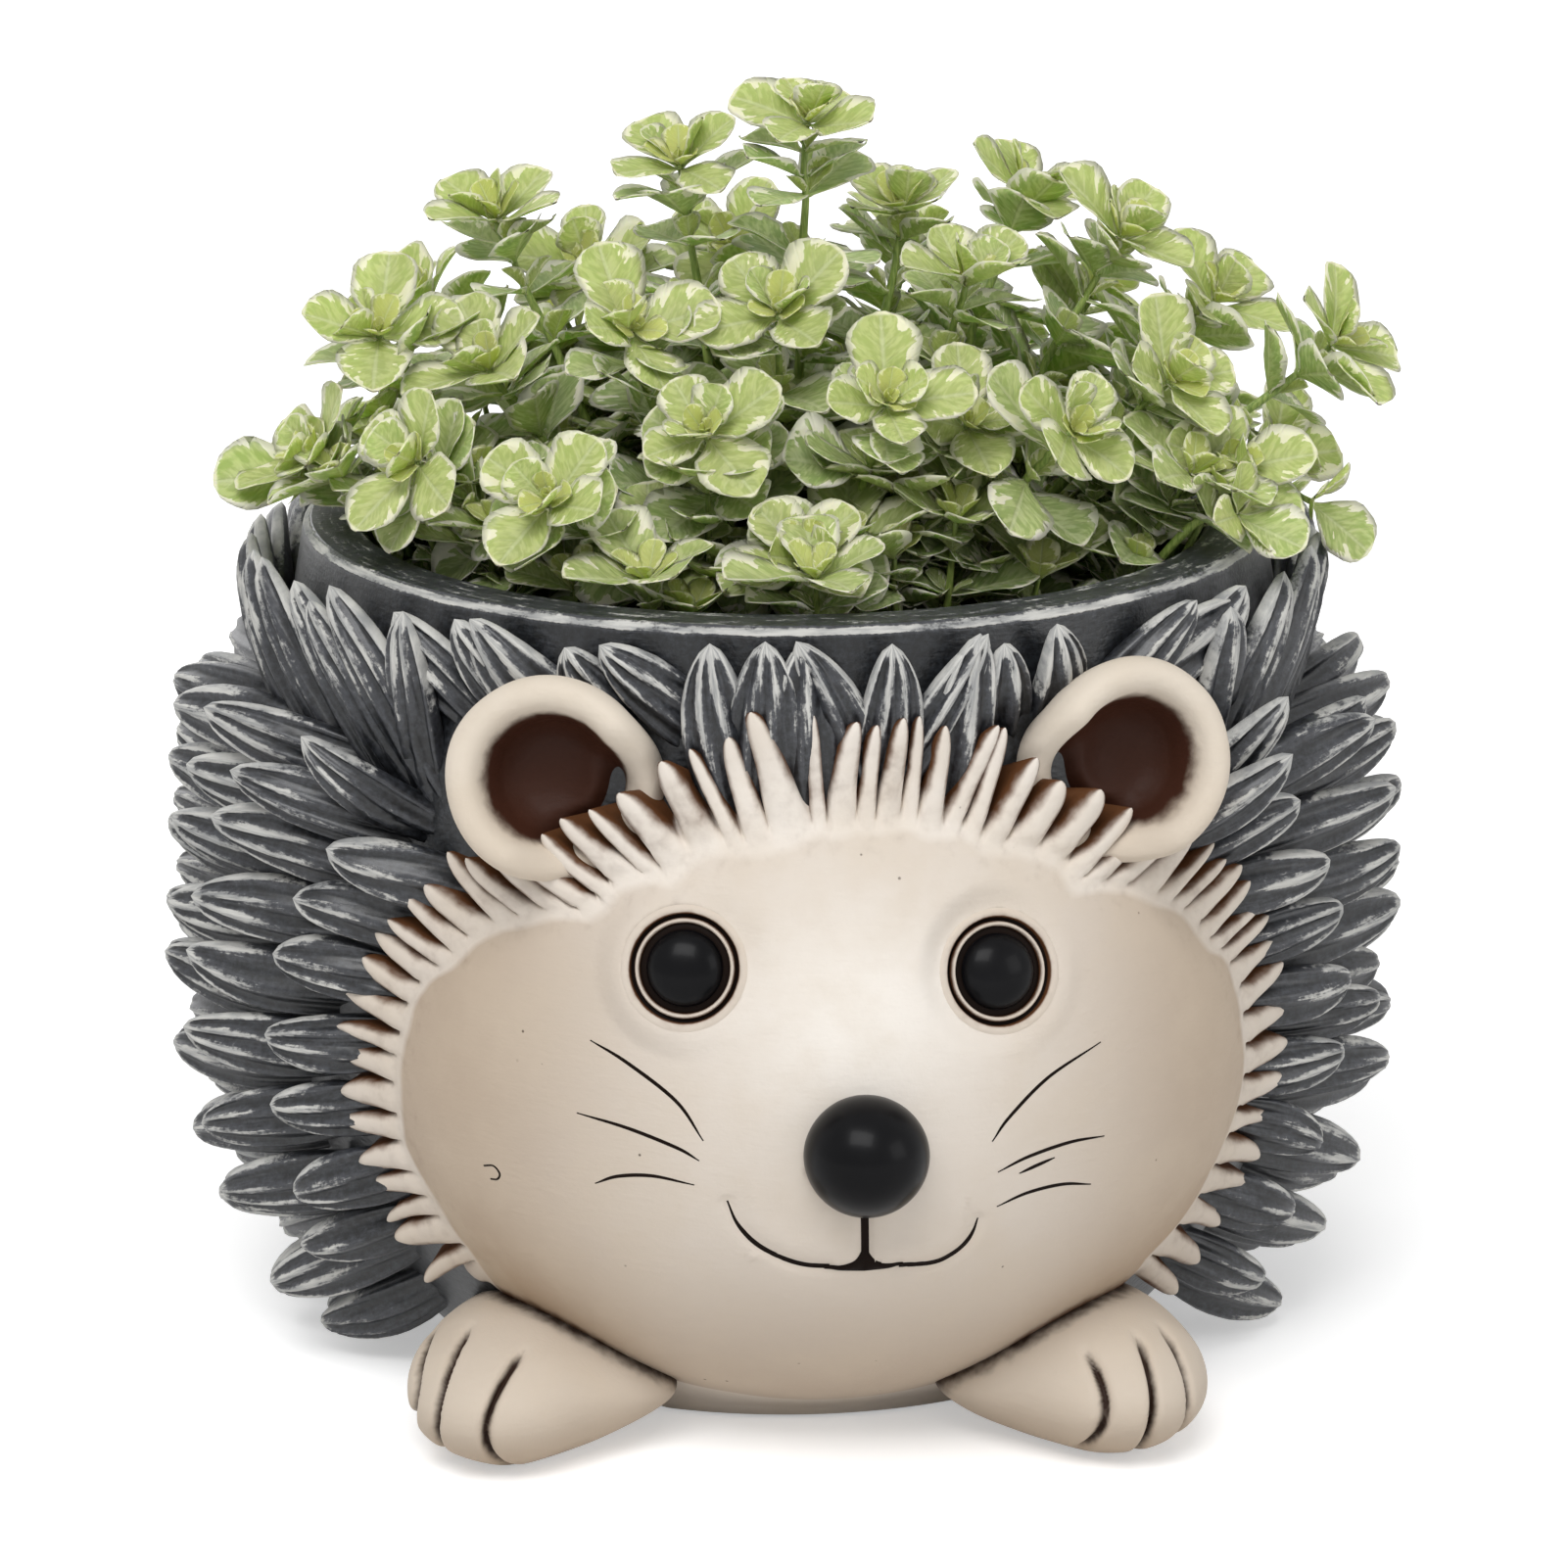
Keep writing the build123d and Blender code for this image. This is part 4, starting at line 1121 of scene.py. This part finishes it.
def collarQuills(solids, rng):
    # the collar drawn out to the rim, with more quills over and between the ears
    whole = [collarSeat(corners) for corners in solids if len(corners) == quill["wholeCorners"]]
    seats = sorted(whole, key=lambda seat: seat[0])
    wanted = list(seats)
    for before, after in zip(seats, seats[1:]):
        if abs(before[0] + after[0]) / 2 > quill["collarFront"]:
            continue
        more = int((after[0] - before[0]) * wall["rim"] * mm / quill["collarSpacing"])
        for number in range(1, more + 1):
            seat = before + (after - before) * number / (more + 1)
            seat[0] += rng.uniform(-0.02, 0.02)
            seat[3] += rng.uniform(-0.12, 0.12)
            seat[5] -= rng.uniform(-0.5, 3.5) * mm
            seat[6] *= rng.uniform(0.85, 1.1)
            wanted.append(seat)
    ears = [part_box(node) for node in ("left_ear", "right_ear")]
    earTurns = [math.atan2(low.x + high.x, -low.y - high.y) for low, high in ears]
    plans = []
    for turn, rootRadius, rootHeight, drift, tipRadius, tipHeight, halfWidth in wanted:
        if min(abs(turn - earTurn) for earTurn in earTurns) < quill["earHalfTurn"]:
            tipRadius -= 2 * mm
            rootHeight, rootRadius = quill["rootOverEar"], tipRadius - 4 * mm
        root = np.array([rootRadius * math.sin(turn), -rootRadius * math.cos(turn), rootHeight])
        tip = np.array([tipRadius * math.sin(turn + drift), -tipRadius * math.cos(turn + drift), tipHeight])
        outward, way = wallNormal(root / mm), unit(tip - root)
        room = (quill["topTip"] - tip[2]) / max(way[2], 0.2)
        reach = min(quill["collarReach"] * rng.uniform(0.7, 1.2), room)
        sunk = root - (0, 0, 4 * mm) * (1 - outward**2)
        plans.append((sunk, tip + way * reach, outward, halfWidth * rng.uniform(0.95, 1.1)))
    return plans


def buildQuills():
    rng = np.random.default_rng(11)
    rows, columns = quill["rows"], quill["upperColumns"] + quill["lowerColumns"]
    nodes = sorted(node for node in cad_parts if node.startswith("quill_"))
    seats = {node: [readQuill(corners) for corners in looseSolids(node)] for node in nodes}
    seats["quill_collar"] = collarQuills(looseSolids("quill_collar"), rng)
    seats["between"] = fillQuills([seat for node in nodes for seat in seats[node]], rng)
    print("quills added between the rows:", len(seats["between"]))
    for node, plans in seats.items():
        made, faces = [], []
        for plan in plans:
            faces += gridFaces(rows, columns, len(made) * rows * columns, closed=True)
            made.append((*quillPoints(*plan, rng), np.full(rows * columns, rng.uniform())))
        points, *values = (np.concatenate(part) for part in zip(*made))
        marks = dict(zip(("ridge", "along", "across", "seed"), values))
        name = {"quill_collar": "quillsCollar", "between": "quillsBetween"}.get(node, "quills" + node[-2:])
        stands = [node] if node in nodes else ()
        addPiece(name, points, faces, quillPaint, marks, stands=stands)


buildQuills()
print("quills ready")

# root ball
soil = {"sideRows": 40, "topRows": 40, "segments": 150, "edge": 0.4 * mm, "rough": 1.3, "crumb": 1.6}


def buildSoil():
    tree = treeOf(cadMesh("soil"))
    low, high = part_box("soil")
    rows = []
    for z in np.linspace(low.z + soil["edge"], high.z - soil["edge"], soil["sideRows"]):
        spot = tree.ray_cast(Vector((0.2, 0, z)), Vector((-1, 0, 0)))[0]
        rows.append((spot.x / mm, z / mm))
    rows = [(0, low.z / mm), (rows[0][0] * 0.5, low.z / mm)] + rows
    rows += [(rows[-1][0] * share, high.z / mm) for share in np.linspace(0.985, 0, soil["topRows"])]
    points, faces = latheForm(rows, (0, 0, 0), (0, 0.0001, 1), soil["segments"])
    radius = lengths(points[:, :2])
    grain = bumps(points, 3.1, 2) + 0.6 * bumps(points, 1.3, 3)
    side = points[:, 2] < high.z / mm - 0.5
    inward = soil["rough"] * np.clip(0.5 + 0.5 * grain, 0, 1.4) * side
    points[:, :2] *= (1 - inward / np.maximum(radius, 5))[:, None]
    points[~side, 2] -= soil["crumb"] * np.clip(0.5 - 0.5 * grain[~side], 0, 1.4)
    addPiece("rootBall", points * mm, faces, compost, body="plant", stands=["soil"])


buildSoil()

# plant, in millimetres
plant = {
    # places along a leaf, its width there, and places across it, the last three on the underside
    "rows": [0, 0.06, 0.14, 0.24, 0.35, 0.46, 0.57, 0.68, 0.78, 0.87, 0.94, 1],
    "outline": [0.1, 0.12, 0.27, 0.52, 0.75, 0.9, 0.98, 1, 0.95, 0.81, 0.59, 0.16],
    "lanes": [-1, -0.66, -0.33, 0, 0.33, 0.66, 1, 0.6, 0, -0.6],
    "upperLanes": 7,
    "thickness": 0.28,
    "leafCorners": 8,  # at most, in a CAD leaf
    "stemSides": 8,
    "stemRows": 16,
    "stemRadius": (1.05, 0.5),
    # leaves at a shoot's top: place along the stem, turn, number, rise, length, youth
    "topWhorls": [
        (-0.6, 0.0, 4, 0.5, 13.4, 0.4),
        (0.0, 0.8, 3, 1.0, 6.6, 0.85),
        (0.4, 0.3, 3, 1.3, 2.8, 1.0),
    ],
    "undergrowth": 112,
    "spacing": 5,
    "bareFront": 0.8,
    "towardsLight": -0.5,
    "ceiling": 205.6,
    "wateringGap": ((17, -60), (38, -46)),
    # shoots that hang over the rim: root, bend, end, tip of the large leaf and the way that leaf faces
    "overhang": [
        ((-56, 0, 122), (-70, 0, 140), (-77, -3, 143), (-93, -4, 143), (0, -0.8, 0.6)),
        ((58, -6, 122), (75, -8, 142), (85, -12, 139), (95, -14, 131), (0.3, -0.8, 0.5)),
        ((50, -28, 122), (63, -33, 140), (70, -38, 143), (80, -44, 139), (0.1, -0.7, 0.7)),
    ],
}


class Foliage:
    # leaves or stems gathered into one mesh
    def __init__(self):
        self.points, self.faces, self.count = [], [], 0
        self.marks = {name: [] for name in ("across", "along", "seed", "youth", "depth")}

    def take(self, points, faces, **marks):
        self.faces += [tuple(i + self.count for i in corner) for corner in faces]
        self.points.append(points)
        for name, values in self.marks.items():
            values.append(np.broadcast_to(np.asarray(marks.get(name, 0.0), float), len(points)))
        self.count += len(points)

    def finish(self, name, material, stands=()):
        marks = {label: np.concatenate(values) for label, values in self.marks.items()}
        points = np.concatenate(self.points) * mm
        addPiece(name, points, self.faces, material, marks, "plant", stands)


def leafMould():
    rows, lanes = len(plant["rows"]), len(plant["lanes"])
    s, v = (grid.ravel() for grid in np.meshgrid(plant["rows"], plant["lanes"], indexing="ij"))
    under = np.tile(np.arange(lanes) >= plant["upperLanes"], rows).astype(float)
    return s, v, under, gridFaces(rows, lanes, closed=True) + [tuple(range(lanes))[::-1]]


mould = leafMould()


def addLeaf(leaves, root, tip, up, width, youth, rng, depth=None):
    s, v, under, faces = mould
    length, along = lengths(tip - root), unit(tip - root)
    across = unit(np.cross(along, up))
    up = np.cross(across, along)
    phase, small = rng.uniform(0, 6), min(width / 8, 1)
    wavy = 1 + 0.04 * np.sin(15 * s + phase) * (s > 0.25) * np.abs(v)
    half = width / 2 * np.interp(s, plant["rows"], plant["outline"]) * wavy
    cup, droop, roll = rng.uniform(0.12, 0.42), rng.uniform(-0.05, 0.22), rng.uniform(-0.2, 0.2)
    rise = cup * np.abs(v) ** 1.5 * half - droop * length * s**2 + roll * v * half
    rise += 0.035 * width * np.sin(8 * s + phase) * v * np.abs(v) - plant["thickness"] * under * small
    rise -= 0.22 * np.exp(-((v / 0.2) ** 2)) * (1 - under) * (s > 0.1) * (s < 0.95) * small
    points = root + offset((s * length * (1 - 0.12 * droop), along), (v * half, across), (rise, up))
    if depth is None:
        # painted shade: leaves low and deep in the plant are darker and olive
        x, y, z = (root + tip) / 2
        depth = np.clip(1.05 - (z - 121) / 30 - 0.006 * math.hypot(x, y), 0, 0.9)
    leaves.take(points, faces, across=v, along=s, seed=rng.uniform(), youth=youth, depth=depth)


def addStem(stems, path, radii, depth=0.0):
    line = readCurve(path, plant["stemRows"])
    angle = np.linspace(0, 2 * np.pi, plant["stemSides"], endpoint=False)
    rings = []
    for i, (spot, way) in enumerate(zip(line, np.gradient(line, axis=0))):
        way = unit(way)
        side = unit(np.cross(way, (0.3, 1, 0.1)))
        radius = radii[0] + (radii[1] - radii[0]) * i / (len(line) - 1)
        circle = offset((np.cos(angle), side), (np.sin(angle), np.cross(side, way)))
        rings.append(spot + radius * (1 + 0.12 * (i % 4 == 3)) * circle)
    stems.take(np.concatenate(rings), cappedTube(len(line), plant["stemSides"]), depth=depth)


def around(way, turn, rise):
    # direction that leaves a stem at a turn about it and a rise above its cross plane
    side = unit(np.cross(way, (0.2, 1, 0.1)))
    out = math.cos(turn) * side + math.sin(turn) * np.cross(side, way)
    return out * math.cos(rise) + way * math.sin(rise)


def allowed(points):
    # clear of the watering gap, of the rim and of the soil
    (x0, y0), (x1, y1) = plant["wateringGap"]
    for x, y, z in points:
        if (x0 < x < x1 and y0 < y < y1 and z < 144) or (z < 138 and math.hypot(x, y) > 66.5):
            return False
    return z > 123.5


def addWhorl(leaves, spot, way, turn, count, rise, length, youth, rng, depth=None):
    for number in range(count):
        lean, size = rise + rng.uniform(-0.22, 0.22), length * rng.uniform(0.82, 1.15)
        out = around(way, turn + 2 * math.pi * number / count + rng.uniform(-0.15, 0.15), lean)
        tip = spot + out * size
        tip[2] = min(tip[2], plant["ceiling"])
        if allowed([(spot + tip) / 2, tip]):
            addLeaf(leaves, spot + out * 0.3, tip, way, size * rng.uniform(0.68, 0.84), youth, rng, depth)


def buildSprig(node, rng):
    leaves, stems = Foliage(), Foliage()
    solids = [corners / mm for corners in looseSolids(node)]
    stem = max(solids, key=len)
    stem = stem[np.argsort(stem[:, 2])]
    path = np.array([stem[i : i + 4].mean(0) for i in range(0, len(stem), 4)])
    path[0, 2] -= 1.5
    way = unit(path[-1] - path[-2])
    for corners in solids:
        if len(corners) > plant["leafCorners"]:
            continue
        root, tip = sorted(farthest(corners), key=lambda end: lengths(end - stem).min())
        a, b = farthest([c for c in corners if not (np.allclose(c, root) or np.allclose(c, tip))])
        up = unit(np.cross(b - a, tip - root))
        up *= np.sign(up @ way + 1e-6)
        youth = 0.12 + 0.45 * smoothStep(-9, 1, (root - path[-1]) @ way) * rng.uniform(0.4, 1)
        addLeaf(leaves, root, tip, up, lengths(b - a) * 1.3, youth, rng)
    addStem(stems, path, plant["stemRadius"], 0.15)
    line = readCurve(path, 40)
    run = np.append(0, np.cumsum(lengths(np.diff(line, axis=0))))
    turn, facing = rng.uniform(0, 6), unit(way + (0, plant["towardsLight"], 0))
    for along, ahead, count, rise, length, youth in plant["topWhorls"]:
        addWhorl(leaves, line[-1] + way * along, facing, turn + ahead, count, rise, length, youth, rng)
    back = 5.0
    while back < run[-1] - 3:
        spot = np.array([np.interp(run[-1] - back, run, line[:, i]) for i in range(3)])
        turn += math.pi / 2
        lower = min(back / 40, 1)
        addWhorl(leaves, spot, way, turn, 2, 0.34, 14.0 + 1.5 * lower, 0.3 * (1 - lower), rng)
        addWhorl(leaves, spot + way * 0.4, way, turn + 0.35, 2, 0.85, 6.4, 0.5, rng)
        back += rng.uniform(8.0, 10.5)
    stems.finish("sprig" + node[-2:] + "Stem", stemGreen)
    leaves.finish("sprig" + node[-2:] + "Leaves", leafGreen, stands=[node])


def buildUndergrowth(rng):
    leaves, stems, spots = Foliage(), Foliage(), []
    while len(spots) < plant["undergrowth"]:
        radius, turn = 63 * math.sqrt(rng.uniform(0.02, 1)), rng.uniform(0, 2 * math.pi)
        x, y = radius * math.cos(turn), radius * math.sin(turn)
        if y < -44 and abs(x) < 46 and rng.uniform() < plant["bareFront"]:
            continue
        if not allowed([(x, y, 124)]) or any(math.hypot(x - a, y - b) < plant["spacing"] for a, b in spots):
            continue
        spots.append((x, y))
        height = rng.uniform(11, 30) * (1.15 - 0.35 * radius / 61)
        overRim = radius > 52 and y > -30 and abs(x) > 25 or y > 40
        lean = rng.uniform(0.0, 0.3) * radius / 61
        if overRim:
            height, lean = rng.uniform(21, 30), rng.uniform(0.3, 0.6)
        base, out = np.array([x, y, 121.5]), np.array([x, y, 0]) / max(radius, 1)
        wander = np.array([rng.uniform(-2, 2), rng.uniform(-2, 2), 0])
        tip = base + (0, 0, height) + out * height * lean + wander
        path = np.array([base, (base + tip) / 2 + wander * 0.3, tip])
        if math.hypot(tip[0], tip[1]) > (76 if overRim else 65):
            continue
        addStem(stems, path, (0.8, 0.4), 0.35)
        way, turn = unit(path[2] - path[1]), rng.uniform(0, 6)
        addWhorl(leaves, tip, way, turn, 4, 0.42, 14.0, 0.3, rng)
        addWhorl(leaves, tip, way, turn + 0.8, 4, 0.95, 6.5, 0.7, rng)
        back = 5.5
        while back < height - 3:
            turn += math.pi / 2
            spot = base + (tip - base) * (1 - back / height)
            addWhorl(leaves, spot, way, turn, 2, 0.35, 13.5, 0.1, rng)
            addWhorl(leaves, spot, way, turn + 0.4, 2, 0.8, 5.0, 0.3, rng)
            back += rng.uniform(5.0, 7.0)
    for shoot in plant["overhang"]:
        base, bend, end, leafEnd, facing = np.array(shoot, float)
        way = unit(end - bend)
        addStem(stems, np.array([base, bend, end]), (0.9, 0.5))
        addLeaf(leaves, end, leafEnd, facing, 0.8 * lengths(leafEnd - end), 0.25, rng, 0)
        addWhorl(leaves, end, way, rng.uniform(0, 6), 4, 0.5, 10.5, 0.5, rng, 0)
        addWhorl(leaves, (bend + end) / 2, way, rng.uniform(0, 6), 2, 0.4, 11.0, 0.3, rng, 0)
    stems.finish("undergrowthStems", stemGreen)
    leaves.finish("undergrowthLeaves", leafGreen)


def buildPlant():
    rng = np.random.default_rng(23)
    for node in sorted(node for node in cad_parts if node.startswith("sprig_")):
        buildSprig(node, rng)
    buildUndergrowth(rng)


buildPlant()
print("plant ready")

# pot shell and plug, which keep their own CAD meshes
for node, material in (("pot_shell", potWall), ("drain_plug", plugRubber)):
    cadMesh(node).materials.clear()
    cadMesh(node).materials.append(material)

# floor, lamps and camera
studio = {
    "worldLevel": 0.4,
    "floorHalf": 6,
    "aim": (0, 0, 0.08),
    "lamps": [
        ("topFront", (-0.35, -1.1, 1.55), (1.3, 0.9), 24),
        ("sideFill", (1.5, -0.9, 0.7), (0.9, 0.9), 5),
        ("backFill", (-0.9, 1.5, 0.9), (1.2, 1.2), 9),
    ],
}
camera = {
    "azimuth": -3.0,
    "elevation": 15.8,
    "distance": 1.1,
    "targetHeight": 0.0891,
    "focalPixels": 6779.0,
    "imagePixels": 1601,
    "sensorWidth": 36,
}


def shownTo(tree):
    # 1 for what is seen straight, mirrored or through a clear surface, 0 for light that falls on things
    straight, mirrored, through = (
        put(tree, "LightPath", output="Is " + kind + " Ray") for kind in ("Camera", "Glossy", "Transmission")
    )
    return straight.larger(mirrored.larger(through))


def whiteFloor(tree):
    away = put(tree, "VectorMath", {0: objectPlace(tree)}, "Value", operation="LENGTH")
    return {"Base Color": (0.92, 0.92, 0.92, 1), "Roughness": 0.9, "Emission Color": (1, 1, 1, 1),
            "Emission Strength": shownTo(tree) * (away.ramp(0.25, 1.3) * 0.25 + 0.4)}


def buildStudio():
    mesh, half = bpy.data.meshes.new("floor"), studio["floorHalf"]
    corners = [(x, y, 0) for x, y in ((-half, -half), (half, -half), (half, half), (-half, half))]
    mesh.from_pydata(corners, [], [(0, 1, 2, 3)])
    mesh.materials.append(newMaterial("whiteFloor", whiteFloor))
    floor = bpy.data.objects.new("floor", mesh)
    bpy.context.scene.collection.objects.link(floor)
    world = bpy.data.worlds.new("softWhite")
    bpy.context.scene.world = world
    world.use_nodes = True
    tree = world.node_tree
    tree.nodes.clear()
    strength = shownTo(tree) * (1 - studio["worldLevel"]) + studio["worldLevel"]
    sky = put(tree, "Background", {"Color": (1, 1, 1, 1), "Strength": strength})
    join(tree, sky, tree.nodes.new("ShaderNodeOutputWorld").inputs[0])
    for name, where, size, power in studio["lamps"]:
        data = bpy.data.lights.new(name, "AREA")
        data.shape = "RECTANGLE"
        data.size, data.size_y = size
        data.energy = power
        lamp = bpy.data.objects.new(name, data)
        lamp.location = where
        lamp.rotation_euler = (Vector(studio["aim"]) - Vector(where)).to_track_quat("-Z", "Y").to_euler()
        bpy.context.scene.collection.objects.link(lamp)


def buildCamera():
    data = bpy.data.cameras.new("camera")
    data.sensor_width = camera["sensorWidth"]
    data.lens = camera["focalPixels"] / camera["imagePixels"] * camera["sensorWidth"]
    data.clip_start, data.clip_end = 0.05, 50
    holder = bpy.data.objects.new("camera", data)
    turn, rise = math.radians(camera["azimuth"]), math.radians(camera["elevation"])
    back = Vector((math.sin(turn) * math.cos(rise), -math.cos(turn) * math.cos(rise), math.sin(rise)))
    holder.location = Vector((0, 0, camera["targetHeight"])) + back * camera["distance"]
    holder.rotation_euler = (-back).to_track_quat("-Z", "Y").to_euler()
    bpy.context.scene.collection.objects.link(holder)
    bpy.context.scene.camera = holder


buildStudio()
buildCamera()
bpy.context.scene.view_settings.view_transform = "Standard"
print("studio ready")
